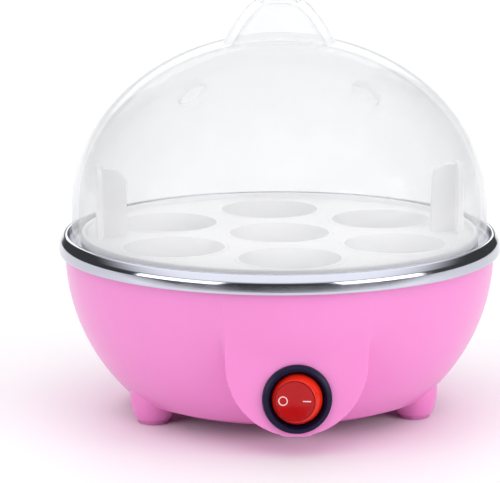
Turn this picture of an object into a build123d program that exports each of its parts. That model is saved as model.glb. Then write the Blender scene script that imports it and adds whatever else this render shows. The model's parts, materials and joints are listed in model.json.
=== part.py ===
from build123d import *
import os
from math import cos, radians, sin, sqrt, tan

# Egg cooker: a bowl-shaped base with a steel water pan and a rocker switch, a lift-out
# egg tray and a clear domed lid. Origin on the floor at the middle of the bowl, +Z up,
# switch towards -Y. All sizes in millimetres.

os.makedirs("parts", exist_ok=True)

# ---- Outside ----
total_height = 141.5
rim_radius = 75.5            # steel band, the widest place
rim_height = 57.5            # floor to the middle of the steel band
band_height = 4.6
bead_rise = 4.0              # middle of the band to the top of the rolled bead
bead_width = 3.2
bead_bend = 1.5
resting_gap = 0.3            # between the loose parts and what they rest on

# ---- Base housing ----
bowl_radius = 73.3           # outside, just under the band
bowl_arc = 65.5              # radius of the bowl's wall in section
bowl_top = rim_height - band_height / 2
bowl_arc_centre = bowl_radius - bowl_arc
bowl_bottom = 7.0
bowl_edge_drop = 0.6
housing_wall = 2.2
housing_top = rim_height - 0.5
shelf_radius = 67.5          # hole in the shelf that carries the pan
shelf_height = 1.4
bottom_opening = 44.0

boss_half_width = 23.5
boss_tilt = 4.0              # degrees that the switch panel looks upwards
boss_reach = 69.6            # axis to the panel, at the switch
boss_depth = 22.0
boss_edge_round = 2.6
switch_height = 19.5
boss_bottom = 7.6

foot_spread_x = 44.5
foot_spread_y = 20.0
foot_radius = 8.6
foot_tip_radius = 6.6
foot_bottom = 1.2
foot_top = 16.0
foot_round = 1.6
pad_radius = 5.4
pad_recess = 1.0

gland_height = 22.0
gland_panel_reach = 68.2
gland_panel_radius = 9.5
gland_radius = 5.0
gland_bore = 3.3
gland_flange_radius = 7.6
gland_flange = 2.6
gland_length = 15.0
gland_nut_radius = 7.4
gland_nut_height = 4.0

# ---- Bottom cover ----
cover_radius = 47.0
cover_thickness = 2.2
cover_chamfer = 0.8
cover_screw_circle = 42.0
screw_boss_radius = 4.2
screw_boss_top = 17.0
screw_hole_radius = 1.3
screw_radius = 1.25
screw_head_radius = 2.8
screw_head_height = 1.5
screw_length = 11.0
screw_clearance = 0.3
screw_slot = (3.2, 0.7, 0.8)     # cross slot: length, width, depth
vent_slots = 8
vent_slot_circle = 26.0
vent_slot_length = 12.0
vent_slot_width = 2.4

# ---- Water pan ----
pan_wall = 0.7
pan_floor = 40.0
pan_radius = 63.0
pan_draft = 1.0
pan_corner = 6.0
ledge_height = rim_height + 1.0
ledge_bend = 1.0
bead_inside = rim_radius - bead_width
seal_inner_radius = 68.4
seal_outer_radius = 71.0

# ---- Heater ----
spreader_radius = 40.0
spreader_thickness = 3.0
spreader_chamfer = 0.8
element_circle = 30.0
element_tube = 3.2
element_gap = 22.0           # degrees, each side of the front
stud_radius = 2.0
stud_end = 18.5
stud_chamfer = 0.5
stud_clearance = 0.2
nut_half_width = 3.5
nut_height = 3.2
pin_radius = 1.5
tab_drop = 10.0
strap_half_length = 61.5
strap_half_width = 6.0
strap_thickness = 1.5
strap_top = 27.0
lug_inner = 57.5
lug_outer = 65.6
lug_height = 4.0
lug_half_width = 6.5
thermostat_radius = 8.0
thermostat_height = 6.0
thermostat_back = 15.0
thermostat_flange = 0.8
thermostat_flange_height = 1.2
thermostat_tab_reach = 14.0
fuse_front = 13.0
fuse_radius = 2.0
fuse_length = 11.0
fuse_round = 0.6
sleeve_radius = 2.6
sleeve_length = 20.0
clip_wall = 0.6
clip_ear = 6.0
clip_width = 5.0
tab_width = 6.3
tab_thickness = 0.8
earth_reach = 40.0
earth_tab_size = (9.0, 8.0)
earth_blade = (4.0, 3.2)         # side and drop
earth_hole_radius = 1.6
earth_screw_radius = 1.5
earth_screw_head = (1.9, 1.6)    # radius and height
earth_screw_length = 6.0

# ---- Wiring ----
lead_radius = 1.2
spade_length = 9.0
spade_width = 7.2
spade_height = 2.6
spade_grip = 6.5
block_size = (26.0, 14.0, 12.0)
block_back = 29.0
block_pitch = 7.5
block_round = 1.2
block_hole = (2.1, 5.0)          # radius and depth
block_screw = (2.0, 3.6)         # radius and height
block_screw_slot = (0.7, 4.0, 0.7)
spade_fit = 0.1

# ---- Switch ----
bezel_radius = 11.5
bezel_height = 2.3
bezel_opening = 8.75
bezel_round = 1.6
bezel_chamfer = 0.7
barrel_radius = 10.0
barrel_depth = 16.0
barrel_floor = 3.0
barrel_clearance = 0.1
pivot_depth = 0.8            # behind the panel
rocker_radius = 8.4
rocker_face = 5.0            # pivot to the flat face
rocker_back = 3.4
rocker_round = 0.5
rocker_pocket = (9.0, 5.0)
pocket_depth = 5.0
rocker_tilt = 12.0           # degrees each side of level
axle_radius = 1.2
axle_reach = 9.5
axle_clearance = 0.05
mark_depth = 0.25
mark_line = 0.42
ring_mark_radius = 1.55
mark_offset = 3.9
contact_depth = 7.0
contact_tilt = 6.0
blade_size = (14.0, 4.0, 0.5)
blade_contact = (1.2, 1.0, 6.0)  # radius, height, off the middle
terminal_spread = 6.0
terminal_length = 8.0
contact_post = 2.6           # fixed contacts above the barrel's floor
fulcrum_rise = 1.4           # the middle one is taller, and carries the blade
plunger_radius = 1.0
plunger_reach = 6.5          # pivot to the plunger's tip
plunger_round = 0.6
lamp_radius = 1.4
lamp_offset = 2.8
lamp_recess = 1.0
glass_round = 0.6

# ---- Egg tray ----
tray_radius = 67.8
tray_thickness = 1.6
tray_edge_height = 1.6
tray_edge_width = 1.5
seat_circle = 43.0
seat_radius = 17.0
seat_bottom_radius = 11.5
seat_depth = 7.0
seat_wall = 1.6
handle_reach = 62.6
handle_rib_reach = 52.2
handle_half_width = 7.0
handle_thickness = 2.2
handle_top = 84.5
handle_round = 4.0

# ---- Lid ----
lid_radius = 71.0
lid_wall = 2.4
lid_crown_wall = 3.0
lid_equator = rim_height + 12.3
lid_crown = 129.0
lip_width = 0.8
lip_height = 2.2
lid_turn = -5.0              # degrees that the loose lid is turned about the axis
vent_radius = 4.2
vent_circle = 45.5
vent_angle = 39.6            # degrees, each side of the lid's front
knob_base = (41.0, 16.0)
knob_tip = (17.0, 8.5)
knob_root = 122.5
knob_hollow_wall = 2.4
knob_round = 3.0

# ---- Worked out ----
bead_top = rim_height + bead_rise
band_bottom = rim_height - band_height / 2
floor_top = bowl_bottom + housing_wall
inner_arc = bowl_arc - housing_wall
spreader_top = pan_floor - pan_wall
spreader_bottom = spreader_top - spreader_thickness
cover_bottom = bowl_bottom - cover_thickness
tray_bottom = ledge_height + resting_gap
tray_top = tray_bottom + tray_thickness
seat_bottom = tray_top - seat_depth
lid_bottom = ledge_height + resting_gap

up = (0, 0, 1)
panel_out = Vector(0, -cos(radians(boss_tilt)), sin(radians(boss_tilt)))
panel = Plane(origin=(0, -boss_reach, switch_height), x_dir=(1, 0, 0), z_dir=panel_out)
pivot_plane = panel.offset(-pivot_depth)
gland_plane = Plane(origin=(0, gland_panel_reach, gland_height), x_dir=(-1, 0, 0), z_dir=(0, 1, 0))
foot_places = [(x, y) for x in (-foot_spread_x, foot_spread_x) for y in (-foot_spread_y, foot_spread_y)]
lid_front = -90 + lid_turn


def turned(plane, angle):
    """A plane turned about its own upright axis."""
    upright = Axis(plane.origin, plane.y_dir)
    return Plane(origin=plane.origin, x_dir=plane.x_dir.rotate(Axis((0, 0, 0), upright.direction), angle),
                 z_dir=plane.z_dir.rotate(Axis((0, 0, 0), upright.direction), angle))


def save(part, name):
    """Label a finished piece and write its STEP file."""
    part.label = name
    export_step(part, f"parts/{name}.step")


def bowl_section(arc, bottom, top):
    """Closed half section of a bowl whose wall is an arc about the shared centre."""
    bottom_radius = bowl_arc_centre + sqrt(arc**2 - (bowl_top - bottom) ** 2)
    half_way = (bowl_top + bottom) / 2
    half_radius = bowl_arc_centre + sqrt(arc**2 - (bowl_top - half_way) ** 2)
    rim = bowl_arc_centre + arc
    with BuildLine() as outline:
        Polyline((0, bottom), (bottom_radius, bottom))
        ThreePointArc((bottom_radius, bottom), (half_radius, half_way), (rim, bowl_top))
        Polyline((rim, bowl_top), (rim, top), (0, top), (0, bottom))
    make_face(outline.edges())


def tombstone(half_width, low, plane_height):
    """Panel outline: straight sides above, a round end below, in the panel's own axes."""
    centre = low + half_width
    with BuildLine() as outline:
        Polyline((-half_width, centre), (-half_width, plane_height), (half_width, plane_height),
                 (half_width, centre))
        ThreePointArc((half_width, centre), (0, low), (-half_width, centre))
    make_face(outline.edges())


def bend_radii(points):
    """Largest bend at each inner point: 0.45 of the shorter run over the half turn's tangent."""
    radii = []
    for before, here, after in zip(points, points[1:], points[2:]):
        run_in = Vector(here) - Vector(before)
        run_out = Vector(after) - Vector(here)
        half_turn = radians(run_in.get_angle(run_out) / 2)
        radii.append(0.45 * min(run_in.length, run_out.length) / tan(half_turn))
    return radii


rocker_plane = turned(pivot_plane, -rocker_tilt)
contact_plane = turned(pivot_plane.offset(-contact_depth), contact_tilt)

# ---------------------------------------------------------------- base housing
panel_low = (boss_bottom - switch_height) / cos(radians(boss_tilt))
panel_high = bowl_top - 6 - switch_height
with BuildPart() as base_housing:
    with BuildSketch(Plane.XZ):
        bowl_section(bowl_arc, bowl_bottom, housing_top)
    revolve(axis=Axis.Z)
    bottom_ring = base_housing.edges().filter_by(GeomType.CIRCLE).sort_by(Axis.Z)[0]
    chamfer(bottom_ring, bowl_edge_drop)
    for foot_x, foot_y in foot_places:
        foot_ground = Plane(origin=(foot_x, foot_y, foot_bottom))
        with BuildSketch(foot_ground):
            Circle(foot_tip_radius)
        with BuildSketch(foot_ground.offset(foot_top - foot_bottom)):
            Circle(foot_radius)
        loft()
        foot_edge = base_housing.edges().filter_by(GeomType.CIRCLE)
        foot_edge = foot_edge.filter_by(lambda e, x=foot_x, y=foot_y: (
            abs(e.arc_center.X - x) < 0.1 and abs(e.arc_center.Y - y) < 0.1))
        fillet(foot_edge.sort_by(Axis.Z)[0], foot_round)
    with BuildSketch(panel):
        tombstone(boss_half_width, panel_low, panel_high)
    extrude(amount=-boss_depth)
    panel_face = base_housing.faces().filter_by(lambda f: (
        (f.normal_at() - panel_out).length < 0.01))
    panel_edges = panel_face.edges().filter_by(lambda e: (
        e.center().Z < switch_height + 4))
    fillet(panel_edges, boss_edge_round)
    with BuildSketch(gland_plane):
        Circle(gland_panel_radius)
    extrude(amount=-boss_depth)
    # the hollow inside
    with BuildSketch(Plane.XZ):
        bowl_section(inner_arc, floor_top, housing_top - shelf_height)
    revolve(axis=Axis.Z, mode=Mode.SUBTRACT)
    with BuildSketch(Plane.XY.offset(housing_top)):
        Circle(shelf_radius)
    extrude(amount=-shelf_height - 1, mode=Mode.SUBTRACT)
    with BuildSketch(panel.offset(-housing_wall)):
        tombstone(boss_half_width - housing_wall, panel_low + housing_wall, panel_high - housing_wall)
    extrude(amount=-boss_depth, mode=Mode.SUBTRACT)
    with BuildSketch(gland_plane.offset(-housing_wall)):
        Circle(gland_panel_radius - housing_wall)
    extrude(amount=-boss_depth, mode=Mode.SUBTRACT)
    with BuildSketch(panel.offset(1)):
        Circle(barrel_radius + barrel_clearance)
    extrude(amount=-boss_depth, mode=Mode.SUBTRACT)
    with BuildSketch(gland_plane.offset(1)):
        Circle(gland_radius + barrel_clearance)
    extrude(amount=-2 * housing_wall, mode=Mode.SUBTRACT)
    with BuildSketch(Plane.XY.offset(bowl_bottom - 1)):
        Circle(bottom_opening)
        with Locations(*foot_places):
            Circle(foot_radius, mode=Mode.SUBTRACT)
    extrude(amount=2 * housing_wall, mode=Mode.SUBTRACT)
    # posts that take the cover's screws, and the lugs above the strap
    with BuildSketch(Plane.XY.offset(bowl_bottom)):
        with PolarLocations(cover_screw_circle, 4, start_angle=45):
            Circle(screw_boss_radius)
            Circle(screw_hole_radius, mode=Mode.SUBTRACT)
    extrude(amount=screw_boss_top - bowl_bottom)
    with BuildSketch(Plane.XY.offset(strap_top)):
        for side in (-1, 1):
            with Locations((side * (lug_inner + lug_outer) / 2, 0)):
                Rectangle(lug_outer - lug_inner, 2 * lug_half_width)
    extrude(amount=lug_height)
    with BuildSketch(Plane.XY.offset(foot_bottom)):
        with Locations(*foot_places):
            Circle(pad_radius + barrel_clearance)
    extrude(amount=pad_recess, mode=Mode.SUBTRACT)
save(base_housing.part, "base_housing")

with BuildPart() as foot_pads:
    with BuildSketch(Plane.XY):
        with Locations(*foot_places):
            Circle(pad_radius)
    extrude(amount=foot_bottom + pad_recess)
    chamfer(foot_pads.edges().filter_by(GeomType.CIRCLE).group_by(Axis.Z)[0], 0.5)
save(foot_pads.part, "foot_pads")

with BuildPart() as bottom_cover:
    with BuildSketch(Plane.XY.offset(cover_bottom)):
        Circle(cover_radius)
        with Locations(*foot_places):
            Circle(foot_radius, mode=Mode.SUBTRACT)
        with PolarLocations(vent_slot_circle, vent_slots):
            SlotOverall(vent_slot_length, vent_slot_width, mode=Mode.SUBTRACT)
        with PolarLocations(cover_screw_circle, 4, start_angle=45):
            Circle(screw_hole_radius + screw_clearance, mode=Mode.SUBTRACT)
    extrude(amount=cover_thickness)
    with BuildSketch(Plane.XY.offset(cover_bottom)):
        with PolarLocations(cover_screw_circle, 4, start_angle=45):
            Circle(screw_head_radius + 0.2)
    extrude(amount=screw_head_height, mode=Mode.SUBTRACT)
    cover_rim = bottom_cover.edges().filter_by(GeomType.CIRCLE).filter_by(
        lambda e: abs(e.radius - cover_radius) < 0.01 and e.center().Z < cover_bottom + 0.1)
    chamfer(cover_rim, cover_chamfer)
save(bottom_cover.part, "bottom_cover")

with BuildPart() as bottom_screws:
    with BuildSketch(Plane.XY.offset(cover_bottom)):
        with PolarLocations(cover_screw_circle, 4, start_angle=45):
            Circle(screw_head_radius)
    extrude(amount=screw_head_height)
    with BuildSketch(Plane.XY.offset(cover_bottom)):
        with PolarLocations(cover_screw_circle, 4, start_angle=45):
            Circle(screw_radius)
    extrude(amount=screw_length)
    with BuildSketch(Plane.XY.offset(cover_bottom)):
        with PolarLocations(cover_screw_circle, 4, start_angle=45):
            Rectangle(screw_slot[0], screw_slot[1])
            Rectangle(screw_slot[1], screw_slot[0])
    extrude(amount=screw_slot[2], mode=Mode.SUBTRACT)
save(bottom_screws.part, "bottom_screws")

# ---------------------------------------------------------------- water pan and its seal
with BuildPart() as water_pan:
    with BuildSketch(Plane.XZ):
        with BuildLine():
            FilletPolyline(
                (0, pan_floor),
                (pan_radius, pan_floor),
                (pan_radius + pan_draft, ledge_height),
                (bead_inside, ledge_height),
                (bead_inside, bead_top),
                (rim_radius, bead_top),
                (rim_radius, band_bottom),
                radius=[pan_corner, ledge_bend, ledge_bend, bead_bend, bead_bend],
            )
            offset(amount=pan_wall, side=Side.RIGHT)
        make_face()
    revolve(axis=Axis.Z)
save(water_pan.part, "water_pan")

with BuildPart() as pan_seal:
    with BuildSketch(Plane.XY.offset(housing_top)):
        Circle(seal_outer_radius)
        Circle(seal_inner_radius, mode=Mode.SUBTRACT)
    extrude(amount=ledge_height - pan_wall - housing_top)
save(pan_seal.part, "pan_seal")

# ---------------------------------------------------------------- heater under the pan
with BuildPart() as heat_spreader:
    with BuildSketch(Plane.XY.offset(spreader_bottom)):
        Circle(spreader_radius)
    extrude(amount=spreader_thickness)
    chamfer(heat_spreader.edges().filter_by(GeomType.CIRCLE).sort_by(Axis.Z)[0], spreader_chamfer)
save(heat_spreader.part, "heat_spreader")

element_height = spreader_bottom - element_tube
with BuildPart() as heating_element:
    with BuildLine(Plane.XY.offset(element_height)):
        element_path = CenterArc((0, 0), element_circle, -90 + element_gap, 360 - 2 * element_gap)
    with BuildSketch(Plane(origin=element_path @ 0, z_dir=element_path % 0)):
        Circle(element_tube)
    sweep()
save(heating_element.part, "heating_element")

pin_length = 3.6
with BuildPart() as element_terminals:
    for side, place in ((1, 0), (-1, 1)):
        end = element_path @ place
        outwards = (element_path % place) * (2 * place - 1)
        with BuildSketch(Plane(origin=end, z_dir=outwards)):
            Circle(pin_radius)
        extrude(amount=pin_length)
        tab_place = end + outwards * (pin_length + tab_thickness / 2)
        with Locations(Location(tab_place)):
            Box(tab_thickness, tab_width, tab_drop, rotation=(0, 0, -side * element_gap),
                align=(Align.CENTER, Align.CENTER, Align.MAX))
save(element_terminals.part, "element_terminals")

with BuildPart() as pan_stud:
    with BuildSketch(Plane.XY.offset(stud_end)):
        Circle(stud_radius)
    extrude(amount=spreader_bottom - stud_end)
    chamfer(pan_stud.edges().filter_by(GeomType.CIRCLE).sort_by(Axis.Z)[0], stud_chamfer)
save(pan_stud.part, "pan_stud")

with BuildPart() as clamp_strap:
    with BuildSketch(Plane.XY.offset(strap_top - strap_thickness)):
        SlotOverall(2 * strap_half_length, 2 * strap_half_width)
        Circle(stud_radius + stud_clearance, mode=Mode.SUBTRACT)
        with Locations((-earth_reach, 0)):
            Circle(earth_hole_radius, mode=Mode.SUBTRACT)
    extrude(amount=strap_thickness)
save(clamp_strap.part, "clamp_strap")

with BuildPart() as stud_nut:
    with BuildSketch(Plane.XY.offset(strap_top - strap_thickness - nut_height)):
        RegularPolygon(nut_half_width, 6, major_radius=False)
        Circle(stud_radius + 0.05, mode=Mode.SUBTRACT)
    extrude(amount=nut_height)
save(stud_nut.part, "stud_nut")

with BuildPart() as thermostat:
    with BuildSketch(Plane(origin=(0, thermostat_back, spreader_bottom))):
        Circle(thermostat_radius)
    extrude(amount=-thermostat_height)
    with BuildSketch(Plane(origin=(0, thermostat_back, spreader_bottom))):
        Circle(thermostat_radius + thermostat_flange)
    extrude(amount=-thermostat_flange_height)
thermostat_low = spreader_bottom - thermostat_height
save(thermostat.part, "thermostat")

with BuildPart() as thermostat_tabs:
    for side in (-1, 1):
        with Locations((side * thermostat_tab_reach, thermostat_back, thermostat_low)):
            Box(thermostat_tab_reach - 3, tab_width, tab_thickness,
                align=(Align.MAX if side > 0 else Align.MIN, Align.CENTER, Align.MAX))
save(thermostat_tabs.part, "thermostat_tabs")

fuse_height = spreader_bottom - sleeve_radius
fuse_plane = Plane(origin=(0, -fuse_front, fuse_height), x_dir=(0, 1, 0), z_dir=(1, 0, 0))
with BuildPart() as thermal_fuse:
    with BuildSketch(fuse_plane):
        Circle(fuse_radius)
    extrude(amount=fuse_length / 2, both=True)
    fillet(thermal_fuse.edges().filter_by(GeomType.CIRCLE), fuse_round)
save(thermal_fuse.part, "thermal_fuse")

with BuildPart() as fuse_sleeve:
    with BuildSketch(fuse_plane):
        Circle(sleeve_radius)
        Circle(fuse_radius + 0.1, mode=Mode.SUBTRACT)
    extrude(amount=sleeve_length / 2, both=True)
save(fuse_sleeve.part, "fuse_sleeve")

clip_inside = sleeve_radius + 0.05
with BuildPart() as fuse_clip:
    with BuildSketch(fuse_plane):
        Circle(clip_inside + clip_wall)
        Circle(clip_inside, mode=Mode.SUBTRACT)
        with Locations((0, clip_inside)):
            Rectangle(2 * clip_ear, 2 * clip_inside, mode=Mode.SUBTRACT)
        for side in (-1, 1):
            with Locations((side * (clip_inside + clip_wall / 2), 0)):
                Rectangle(clip_wall, sleeve_radius, align=(Align.CENTER, Align.MIN))
            with Locations((side * (clip_inside + clip_ear / 2), sleeve_radius)):
                Rectangle(clip_ear, clip_wall, align=(Align.CENTER, Align.MAX))
    extrude(amount=clip_width / 2, both=True)
save(fuse_clip.part, "fuse_clip")

with BuildPart() as earth_tab:
    with BuildSketch(Plane(origin=(-earth_reach, 0, strap_top - strap_thickness))):
        Rectangle(*earth_tab_size)
        Circle(earth_hole_radius, mode=Mode.SUBTRACT)
    extrude(amount=-tab_thickness)
    earth_low = strap_top - strap_thickness - tab_thickness
    with BuildSketch(Plane(origin=(-earth_reach, earth_tab_size[1] / 2, earth_low))):
        Rectangle(earth_blade[0], earth_blade[0])
    extrude(amount=-earth_blade[1])
save(earth_tab.part, "earth_tab")

with BuildPart() as earth_screw:
    with BuildSketch(Plane(origin=(-earth_reach, 0, earth_low))):
        Circle(earth_screw_head[0])
    extrude(amount=-earth_screw_head[1])
    with BuildSketch(Plane(origin=(-earth_reach, 0, earth_low))):
        Circle(earth_screw_radius)
    extrude(amount=earth_screw_length)
save(earth_screw.part, "earth_screw")

# ---------------------------------------------------------------- rear cord gland
with BuildPart() as cord_gland:
    with BuildSketch(gland_plane):
        Circle(gland_flange_radius)
    extrude(amount=gland_flange)
    fillet(cord_gland.edges().filter_by(GeomType.CIRCLE).sort_by(Axis.Y)[-1], 0.9)
    with BuildSketch(gland_plane):
        Circle(gland_radius)
    extrude(amount=-gland_length + gland_flange)
    with BuildSketch(gland_plane.offset(gland_flange)):
        Circle(gland_bore)
    extrude(amount=-gland_length, mode=Mode.SUBTRACT)
save(cord_gland.part, "cord_gland")

with BuildPart() as gland_nut:
    with BuildSketch(gland_plane.offset(-housing_wall)):
        RegularPolygon(gland_nut_radius - 0.6, 6)
        Circle(gland_radius + 0.05, mode=Mode.SUBTRACT)
    extrude(amount=-gland_nut_height)
save(gland_nut.part, "gland_nut")

# ---------------------------------------------------------------- terminal block
with BuildPart() as terminal_block:
    with BuildSketch(Plane(origin=(0, block_back, bowl_bottom))):
        Rectangle(block_size[0], block_size[1])
    extrude(amount=block_size[2])
    fillet(terminal_block.edges().filter_by(Axis.Z), block_round)
    with BuildSketch(Plane.XY.offset(bowl_bottom + block_size[2])):
        with Locations(*[(n * block_pitch, block_back) for n in (-1, 0, 1)]):
            Circle(block_hole[0])
    extrude(amount=-block_hole[1], mode=Mode.SUBTRACT)
save(terminal_block.part, "terminal_block")

with BuildPart() as block_screws:
    screw_low = bowl_bottom + block_size[2] - block_hole[1]
    with BuildSketch(Plane.XY.offset(screw_low)):
        with Locations(*[(n * block_pitch, block_back) for n in (-1, 0, 1)]):
            Circle(block_screw[0])
    extrude(amount=block_screw[1])
    with BuildSketch(Plane.XY.offset(screw_low + block_screw[1])):
        with Locations(*[(n * block_pitch, block_back) for n in (-1, 0, 1)]):
            Rectangle(block_screw_slot[0], block_screw_slot[1])
    extrude(amount=-block_screw_slot[2], mode=Mode.SUBTRACT)
save(block_screws.part, "block_screws")

# ---------------------------------------------------------------- rocker switch
with BuildPart() as switch_body:
    with BuildSketch(panel):
        Circle(bezel_radius)
    extrude(amount=bezel_height)
    bezel_edge = switch_body.edges().filter_by(GeomType.CIRCLE).sort_by(Axis.Y)[0]
    fillet(bezel_edge, bezel_round)
    with BuildSketch(panel):
        Circle(barrel_radius)
    extrude(amount=-barrel_depth)
    with BuildSketch(panel.offset(bezel_height)):
        Circle(bezel_opening)
    extrude(amount=-bezel_height - barrel_depth + barrel_floor, mode=Mode.SUBTRACT)
    opening_edge = switch_body.edges().filter_by(GeomType.CIRCLE).filter_by(
        lambda e: abs(e.radius - bezel_opening) < 0.01).sort_by(Axis.Y)[0]
    chamfer(opening_edge, bezel_chamfer)
    with BuildSketch(panel.offset(-barrel_depth)):
        with Locations((-terminal_spread, 0), (0, 0), (terminal_spread, 0)):
            Rectangle(tab_thickness, tab_width)
    extrude(amount=barrel_floor + 1, mode=Mode.SUBTRACT)
    axle_holes = Plane(origin=pivot_plane.origin, x_dir=(1, 0, 0), z_dir=pivot_plane.y_dir)
    with BuildSketch(axle_holes):
        Circle(axle_radius + axle_clearance)
    extrude(amount=axle_reach + 0.1, both=True, mode=Mode.SUBTRACT)
save(switch_body.part, "switch_body")

with BuildPart() as switch_terminals:
    with BuildSketch(panel.offset(-barrel_depth - terminal_length)):
        with Locations((-terminal_spread, 0), (0, 0), (terminal_spread, 0)):
            Rectangle(tab_thickness, tab_width)
    extrude(amount=terminal_length + barrel_floor + contact_post)
    with BuildSketch(panel.offset(-barrel_depth + barrel_floor + contact_post)):
        Rectangle(tab_thickness, tab_width)
    extrude(amount=fulcrum_rise)
save(switch_terminals.part, "switch_terminals")

with BuildPart() as switch_rocker:
    Sphere(rocker_radius)
    with BuildSketch(Plane.XY.offset(rocker_face)):
        Rectangle(4 * rocker_radius, 4 * rocker_radius)
    extrude(amount=rocker_radius, mode=Mode.SUBTRACT)
    with BuildSketch(Plane.XY.offset(-rocker_back)):
        Rectangle(4 * rocker_radius, 4 * rocker_radius)
    extrude(amount=-rocker_radius, mode=Mode.SUBTRACT)
    fillet(switch_rocker.edges().filter_by(GeomType.CIRCLE).sort_by(Axis.Z)[-1], rocker_round)
    with BuildSketch(Plane.XZ):
        Circle(axle_radius)
    extrude(amount=axle_reach, both=True)
    with BuildSketch(Plane.XY.offset(-rocker_back)):
        Rectangle(*rocker_pocket)
    extrude(amount=pocket_depth, mode=Mode.SUBTRACT)
    with BuildSketch(Plane.XY.offset(rocker_face)):
        with Locations((-mark_offset, 0)):
            Circle(ring_mark_radius)
            Circle(ring_mark_radius - mark_line, mode=Mode.SUBTRACT)
        with Locations((mark_offset, 0)):
            Rectangle(2 * ring_mark_radius, mark_line)
    extrude(amount=-mark_depth, mode=Mode.SUBTRACT)
switch_rocker.part = rocker_plane * switch_rocker.part
save(switch_rocker.part, "switch_rocker")

with BuildPart() as rocker_marks:
    with BuildSketch(rocker_plane.offset(rocker_face)):
        with Locations((-mark_offset, 0)):
            Circle(ring_mark_radius)
            Circle(ring_mark_radius - mark_line, mode=Mode.SUBTRACT)
        with Locations((mark_offset, 0)):
            Rectangle(2 * ring_mark_radius, mark_line)
    extrude(amount=-mark_depth)
save(rocker_marks.part, "rocker_marks")

with BuildPart() as rocker_plunger:
    with BuildSketch(rocker_plane.offset(-plunger_reach)):
        Circle(plunger_radius)
    extrude(amount=plunger_reach + pocket_depth - rocker_back)
    fillet(rocker_plunger.edges().filter_by(GeomType.CIRCLE).sort_by(Axis.Y)[-1], plunger_round)
save(rocker_plunger.part, "rocker_plunger")

with BuildPart() as indicator_lamp:
    with BuildSketch(rocker_plane.offset(-rocker_back + lamp_recess)):
        with Locations((lamp_offset, 0)):
            Circle(lamp_radius)
    extrude(amount=pocket_depth - lamp_recess)
    fillet(indicator_lamp.edges().filter_by(GeomType.CIRCLE), glass_round)
save(indicator_lamp.part, "indicator_lamp")

with BuildPart() as contact_blade:
    with BuildSketch(contact_plane):
        Rectangle(blade_size[0], blade_size[1])
    extrude(amount=-blade_size[2])
    with BuildSketch(contact_plane):
        with Locations((blade_contact[2], 0)):
            Circle(blade_contact[0])
    extrude(amount=-blade_contact[1])
save(contact_blade.part, "contact_blade")

# ---------------------------------------------------------------- spade connectors and leads
switch_spade = panel.offset(-barrel_depth - terminal_length + spade_grip)
with BuildPart() as spade_connectors:
    with BuildSketch(switch_spade):
        with Locations((-terminal_spread, 0), (terminal_spread, 0)):
            Rectangle(spade_height, spade_width)
    extrude(amount=-spade_length)
    with BuildSketch(switch_spade):
        with Locations((-terminal_spread, 0), (terminal_spread, 0)):
            Rectangle(tab_thickness + spade_fit, tab_width + spade_fit)
    extrude(amount=-spade_grip - spade_fit, mode=Mode.SUBTRACT)
save(spade_connectors.part, "spade_connectors")

with BuildPart() as thermostat_spades:
    for side in (-1, 1):
        mouth = Plane(origin=(side * (thermostat_tab_reach - spade_grip + 1), thermostat_back,
                              thermostat_low - tab_thickness / 2), x_dir=(0, 1, 0), z_dir=(side, 0, 0))
        with BuildSketch(mouth):
            Rectangle(spade_width, spade_height)
        extrude(amount=spade_length - 1)
        with BuildSketch(mouth):
            Rectangle(tab_width + spade_fit, tab_thickness + spade_fit)
        extrude(amount=spade_grip - 1 + spade_fit, mode=Mode.SUBTRACT)
save(thermostat_spades.part, "thermostat_spades")

with BuildPart() as element_spades:
    for side, place in ((1, 0), (-1, 1)):
        outwards = (element_path % place) * (2 * place - 1)
        tab_place = (element_path @ place) + outwards * (pin_length + tab_thickness / 2)
        mouth = Plane(origin=(tab_place.X, tab_place.Y, tab_place.Z - tab_drop + spade_grip),
                      x_dir=(cos(radians(element_gap)), -side * sin(radians(element_gap)), 0), z_dir=up)
        with BuildSketch(mouth):
            Rectangle(spade_height, spade_width)
        extrude(amount=-spade_length)
        with BuildSketch(mouth):
            Rectangle(tab_thickness + spade_fit, tab_width + spade_fit)
        extrude(amount=-spade_grip - spade_fit, mode=Mode.SUBTRACT)
element_spade_low = element_height - tab_drop + spade_grip - spade_length
save(element_spades.part, "element_spades")

switch_left = switch_spade.from_local_coords((-terminal_spread, 0, -spade_length))
switch_right = switch_spade.from_local_coords((terminal_spread, 0, -spade_length))
thermostat_side = thermostat_tab_reach - spade_grip + spade_length
thermostat_level = thermostat_low - tab_thickness / 2
block_front = block_back - block_size[1] / 2
block_entry = bowl_bottom + block_size[2] / 2
element_left = (element_path @ 1) + (element_path % 1) * (pin_length + tab_thickness / 2)
element_right = (element_path @ 0) - (element_path % 0) * (pin_length + tab_thickness / 2)
earth_barrel = earth_low - 3.2 + 1.6


def straight_out(start, direction, run=4.0):
    """Start of a route: where it leaves its terminal, and a short run square to that face."""
    begin = Vector(start)
    return [begin, begin + Vector(direction).normalized() * run]


block_ways = {n: straight_out((n * block_pitch, block_front, block_entry), (0, -1, 0)) for n in (-1, 0, 1)}
switch_back = (-panel_out.X, -panel_out.Y, -panel_out.Z)
from_switch_left = straight_out(switch_left, switch_back)
from_switch_right = straight_out(switch_right, switch_back)
from_thermostat_left = straight_out((-thermostat_side, thermostat_back, thermostat_level), (-1, 0, 0), 3.2)
from_thermostat_right = straight_out((thermostat_side, thermostat_back, thermostat_level), (1, 0, 0), 3.2)
from_fuse_left = straight_out((-sleeve_length / 2, -fuse_front, fuse_height), (-1, 0, 0))
from_fuse_right = straight_out((sleeve_length / 2, -fuse_front, fuse_height), (1, 0, 0))
from_element_left = straight_out((element_left.X, element_left.Y, element_spade_low), (0, 0, -1))
from_element_right = straight_out((element_right.X, element_right.Y, element_spade_low), (0, 0, -1))
from_earth = straight_out((-earth_reach, 6, earth_barrel), (0, 1, 0))

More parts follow.
